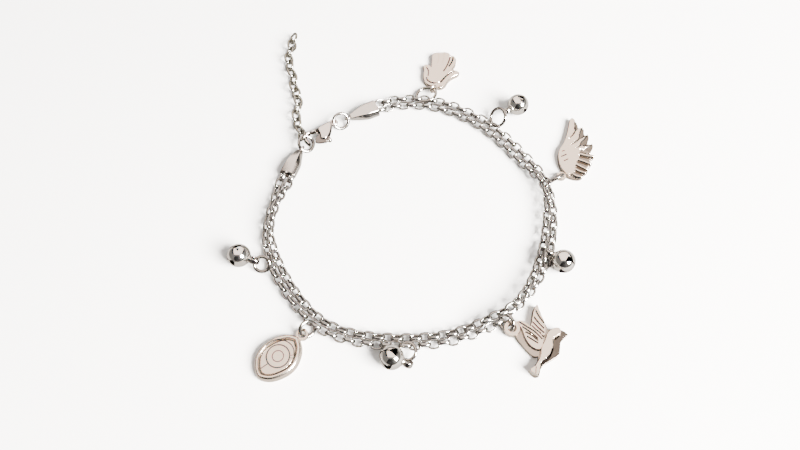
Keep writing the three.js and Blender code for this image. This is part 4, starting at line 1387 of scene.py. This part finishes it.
def wing_top(points, gap):
    """The wing's face: a smooth shoulder, upper feathers with falling faces, lower ones as bars."""
    floor, shoulder_rise, crest_height, fall_depth, rim = 0.75, 0.75, 1.4, 0.25, 0.16
    # Painted shade: darker round the shoulder, over the upper feathers' faces and down the sides of the
    # lower feathers' bars, whose crests keep the face colour.
    floor_shade, feather_shade, bar_shade, bar_bright = 0.9, 0.85, 0.7, 0.55
    x, y = points.T
    shoulder = patch(points, WING_SHOULDER, 0.14)
    height = floor + shoulder_rise * shoulder
    painted_shade = (1 - shoulder) * floor_shade
    for crest, rest in WING_FACES:
        face = patch(points, crest + rest, 0.06)
        fall = fall_depth * ease(distance_to(points, smooth_path(crest)) / fall_depth)
        height = height * (1 - face) + face * (crest_height - fall)
        painted_shade = np.maximum(painted_shade * (1 - face), feather_shade * face)
    bars = np.max([ridge(points, *line) for line in WING_BARS], axis=0) * (1 - shoulder)
    lower = y < np.where(x < 1, 9.3, 11.3)
    height += np.where(lower, bars, 0)
    barred = np.minimum(painted_shade, bar_shade) * (1 - ease((bars - bar_bright) / 0.2))
    painted_shade = np.where(lower, barred, painted_shade)
    # The dashes are cut shallow, with shade painted along them.
    dashes = grooves(points, WING_DASHES)
    height += DRAWN_DEPTH * dashes - rounded(gap, rim) * 0.8
    return height, np.maximum(painted_shade, ease(-dashes / 0.1))


def bird_top(points, gap):
    """The bird's face: a full body over two ribbed wings, with sides that fall to the outline."""
    side_height, side_rise, rim, thinnest = 0.9, 0.25, 0.15, 0.3
    body_height, upper_height, lower_height = 2.55, 2.1, 2.2
    body = patch(points, BIRD_BODY, 0.22)
    upper = patch(points, BIRD_UPPER_WING, 0.2)
    lower = patch(points, BIRD_LOWER_WING, 0.16)
    sides = side_height + side_rise * ease(gap / 2.4)
    height = np.maximum.reduce([sides, body_height * body, upper_height * upper, lower_height * lower])
    cuts = grooves(points, BIRD_LINES)
    height = np.maximum(height + cuts - rounded(gap, rim), thinnest)
    # Shade is painted over the sides outside the body and wings, deeper from y = 8 up, and into the grooves.
    flank_shade = 0.55 + 0.4 * ease((points[:, 1] - 8) / 1.2)
    sunk = 1 - np.maximum.reduce([body, upper, lower])
    return height, np.maximum(ease(-cuts / 0.2), flank_shade * sunk)


def eye_top(points, gap):
    """The eye's face: a full rim round a sunken face, with rings and lids drawn in it."""
    sunk_face, rim_rise, rim_width, edge, dome = 1.45, 0.5, 0.95, 0.85, 0.12
    iris_radius, pupil_radius, moat_at, face_from, face_shade = 2.8, 1.35, 1.42, 1.3, 0.14
    rim = rim_rise * (1 - ease((gap - rim_width) / 0.4)) - 1.3 * rounded(gap, edge) / edge
    away = np.linalg.norm(points - EYE_MIDDLE, axis=1)
    iris, pupil = hump(away - iris_radius, 0.2, -0.22), hump(away - pupil_radius, 0.17, -0.15)
    cuts = np.minimum.reduce([iris, pupil, grooves(points, EYE_LINES)])
    moat = hump(gap - moat_at, 0.2, -0.25)
    # Shade is painted into the rings, lids and moat, and the sunken face is made a little darker all over.
    line = np.maximum(ease(-cuts / 0.14), ease(-moat / 0.3))
    height = sunk_face + rim + hump(away, 5, dome) + DRAWN_DEPTH * cuts + moat
    return height, np.maximum(line, face_shade * (gap > face_from))


FACE_DEPTH = 0.08       # only points this near a charm's drawn face take its painted shade


def build_charm(context, node, outline, top, loops):
    """Adds one charm: its relief, joined with its loops."""
    settings = context.scene.anklet_charms
    steel = bpy.data.materials.get("Cast stainless charm") or cast_charm_steel(
        settings.face_colour, settings.charm_shade_colour)
    outline = stretches(outline)
    part = combine(relief(outline, top, size(settings.detail)), loops, "UNION")
    edge = closed_up(evenly(outline, 800))
    plan, height = part[0][:, :2], part[0][:, 2]
    face, painted_shade = top(plan, distance_to(plan, edge) * inside(plan, edge))
    at, turn = CHARMS[node]
    piece = show(f"{node}_casting", placed(part, turn_about("Z", turn), at), steel, [node],
                 sharp=38)
    paint_shade(piece, np.where(abs(height - face) < FACE_DEPTH, painted_shade, 0))
    return {"FINISHED"}


class ANKLET_OT_hand(bpy.types.Operator):
    """Add the open hand charm, with its bail and the small ball at its wrist"""
    bl_idname = "anklet.build_hand"
    bl_label = "Hand charm"

    def execute(self, context):
        at, turn = CHARMS["charm_hand"]
        point, wire_way = ring_wire_at("ring_hand", HAND_ON_RING)
        back = turn_about("Z", -turn)
        bail_at = back @ (point - at)
        bail = placed(torus(*HAND_BAIL), turn_between(Z, back @ wire_way), bail_at)
        start, end = (bail_at[:2] + offset for offset in HAND_STEM)
        stem = slab(bar(start, end, 0.5), 0.5, 1.9)
        bead = placed(ball(HAND_BEAD, 28, 16), np.eye(3), HAND_BEAD_AT)
        return build_charm(context, "charm_hand", HAND_OUTLINE, hand_top, [bail, stem, bead])


class ANKLET_OT_wing(bpy.types.Operator):
    """Add the wing charm"""
    bl_idname = "anklet.build_wing"
    bl_label = "Wing charm"

    def execute(self, context):
        return build_charm(context, "charm_wing", WING_OUTLINE, wing_top, [flat_loop(1.25, 0.62, 0.3, 1.3)])


class ANKLET_OT_bird(bpy.types.Operator):
    """Add the flying bird charm"""
    bl_idname = "anklet.build_bird"
    bl_label = "Bird charm"

    def execute(self, context):
        return build_charm(context, "charm_bird", BIRD_OUTLINE, bird_top, [flat_loop(2.05, 0.95, 0.4, 2.0)])


class ANKLET_OT_eye(bpy.types.Operator):
    """Add the eye charm"""
    bl_idname = "anklet.build_eye"
    bl_label = "Eye charm"

    def execute(self, context):
        return build_charm(context, "charm_eye", EYE_OUTLINE, eye_top, [flat_loop(1.5, 0.98, 0.35, 1.5)])


# ---------------------------------------------------------------- jingle bells

# Half of a slot's wide end: shares of the slot's half width, and how far down from its top.
SLOT_SHOULDER = [[0.8, 0.0], [1.0, 0.12], [0.93, 0.3]]

# The neck under the shank loop: radius, and height above the top of the shell.
BELL_NECK = [[1.2, -0.5], [1.12, -0.1], [0.8, 0.15], [0.6, 0.5]]

BALL_ROOM = 0.5         # between the loose ball and the shell
BALL_SHADE = 0.8       # how dark the shade painted on the loose ball is


def bell_slot(settings, start, reach):
    """The room of one slot in a bell's side, on the -Y side: a triangle that runs out into a
    narrow cut."""
    wide, narrow = size(settings.slot_top) / 2, size(settings.slot_foot) / 2
    half = [[wide * share, start - down] for share, down in SLOT_SHOULDER]
    half += [[narrow, start - size(settings.slot_taper)], [narrow, -reach]]
    x, z = np.array(half + [[-x, z] for x, z in half[::-1]]).T
    return skin([np.column_stack([x, np.full(len(x), y), z]) for y in (0.0, -reach)])


def bell_shell(settings, roll, loop_roll, start):
    """A bell in its own frame, its middle at the origin and +Z up to its shank loop, and the shade painted
    on each of its points."""
    radius, wall = size(settings.radius), size(settings.wall)
    slot = bell_slot(settings, start, radius + 1)
    rooms = [placed(slot, turn_about("Z", 90 * i), [0, 0, 0]) for i in range(4)]
    strip = rolled_section(size(settings.loop_strip), size(settings.loop_width), sides=24, squareness=2.6)
    loop = placed(bent_wire(circle(size(settings.loop), 56), strip),
                  turn_about("Z", loop_roll - roll) @ turn_about("X", 90), [0, 0, size(settings.loop_reach)])
    neck = skin([level(circle(wide, 32), radius + up) for wide, up in BELL_NECK])
    whole = combine(ball(radius, around=72, rows=40), [neck, loop], "UNION")
    points, faces = combine(whole, [ball(radius - wall, around=48, rows=28), *rooms], "DIFFERENCE")
    # Full shade is painted inside the shell and half shade over the neck and shank loop.
    inner = np.linalg.norm(points, axis=1) < radius - wall / 2
    shank = ease((points[:, 2] - radius) / 0.3)
    return (points, faces), np.maximum(inner, 0.5 * shank)


def bell_turn(at, loop_to, roll):
    """A bell's turn: +Z to its loop, and the slot on -Y facing up before the roll."""
    axis = unit(np.array(loop_to) - at)
    down = -unit(Z - axis * axis[2])
    return np.column_stack([np.cross(down, axis), down, axis]) @ turn_about("Z", roll)


class ANKLET_OT_bells(bpy.types.Operator):
    """Add the four jingle bells and the loose balls in them"""
    bl_idname = "anklet.build_bells"
    bl_label = "Jingle bells"

    def execute(self, context):
        settings = context.scene.anklet_bells
        steel = tumbled_shell_steel(settings.shell_colour, settings.inside_shade_colour)
        loose = size(settings.ball)
        drop = size(settings.radius) - size(settings.wall) - loose - BALL_ROOM
        for number, (at, loop_to, roll, loop_roll, start) in BELLS.items():
            shell, bell_shade = bell_shell(settings, roll, loop_roll, start)
            turned = placed(shell, bell_turn(np.array(at), loop_to, roll), at)
            piece = show(f"bell_{number}_shell", turned, steel, [f"bell_{number}"], sharp=40)
            paint_shade(piece, bell_shade)
            pellet = placed(ball(loose, 32, 18), turn_about("X", 70), np.array(at) - [0, 0, drop])
            piece = show(f"bell_{number}_ball", pellet, steel, [f"bell_pellet_{number}"])
            paint_shade(piece, np.full(len(pellet[0]), BALL_SHADE))
        return {"FINISHED"}


# ---------------------------------------------------------------- sidebar and running

BUILDERS = (
    ANKLET_OT_stage,
    ANKLET_OT_rings,
    ANKLET_OT_chain,
    ANKLET_OT_extender,
    ANKLET_OT_caps,
    ANKLET_OT_clasp,
    ANKLET_OT_hand,
    ANKLET_OT_wing,
    ANKLET_OT_bird,
    ANKLET_OT_eye,
    ANKLET_OT_bells,
)


class ANKLET_PT_sidebar(bpy.types.Panel):
    """The anklet's settings and the buttons that build it"""
    bl_idname = "ANKLET_PT_sidebar"
    bl_label = "Charm anklet"
    bl_space_type = "VIEW_3D"
    bl_region_type = "UI"
    bl_category = "Anklet"

    def draw(self, context):
        for group, kind in GROUPS.items():
            box = self.layout.box()
            box.label(text=kind.__doc__)
            for name in kind.__annotations__:
                box.prop(getattr(context.scene, group), name)
        for builder in BUILDERS:
            self.layout.operator(builder.bl_idname)


CLASSES = (*GROUPS.values(), *BUILDERS, ANKLET_PT_sidebar)


def register():
    """Adds the classes and their settings."""
    for kind in CLASSES:
        bpy.utils.register_class(kind)
    for group, kind in GROUPS.items():
        setattr(bpy.types.Scene, group, PointerProperty(type=kind))


def unregister():
    """Takes the settings and the classes away again."""
    for group in GROUPS:
        delattr(bpy.types.Scene, group)
    for kind in reversed(CLASSES):
        bpy.utils.unregister_class(kind)


def main():
    """Builds everything in order."""
    register()
    for builder in BUILDERS:
        group, name = builder.bl_idname.split(".")
        getattr(getattr(bpy.ops, group), name)()


if __name__ == "__main__":
    main()
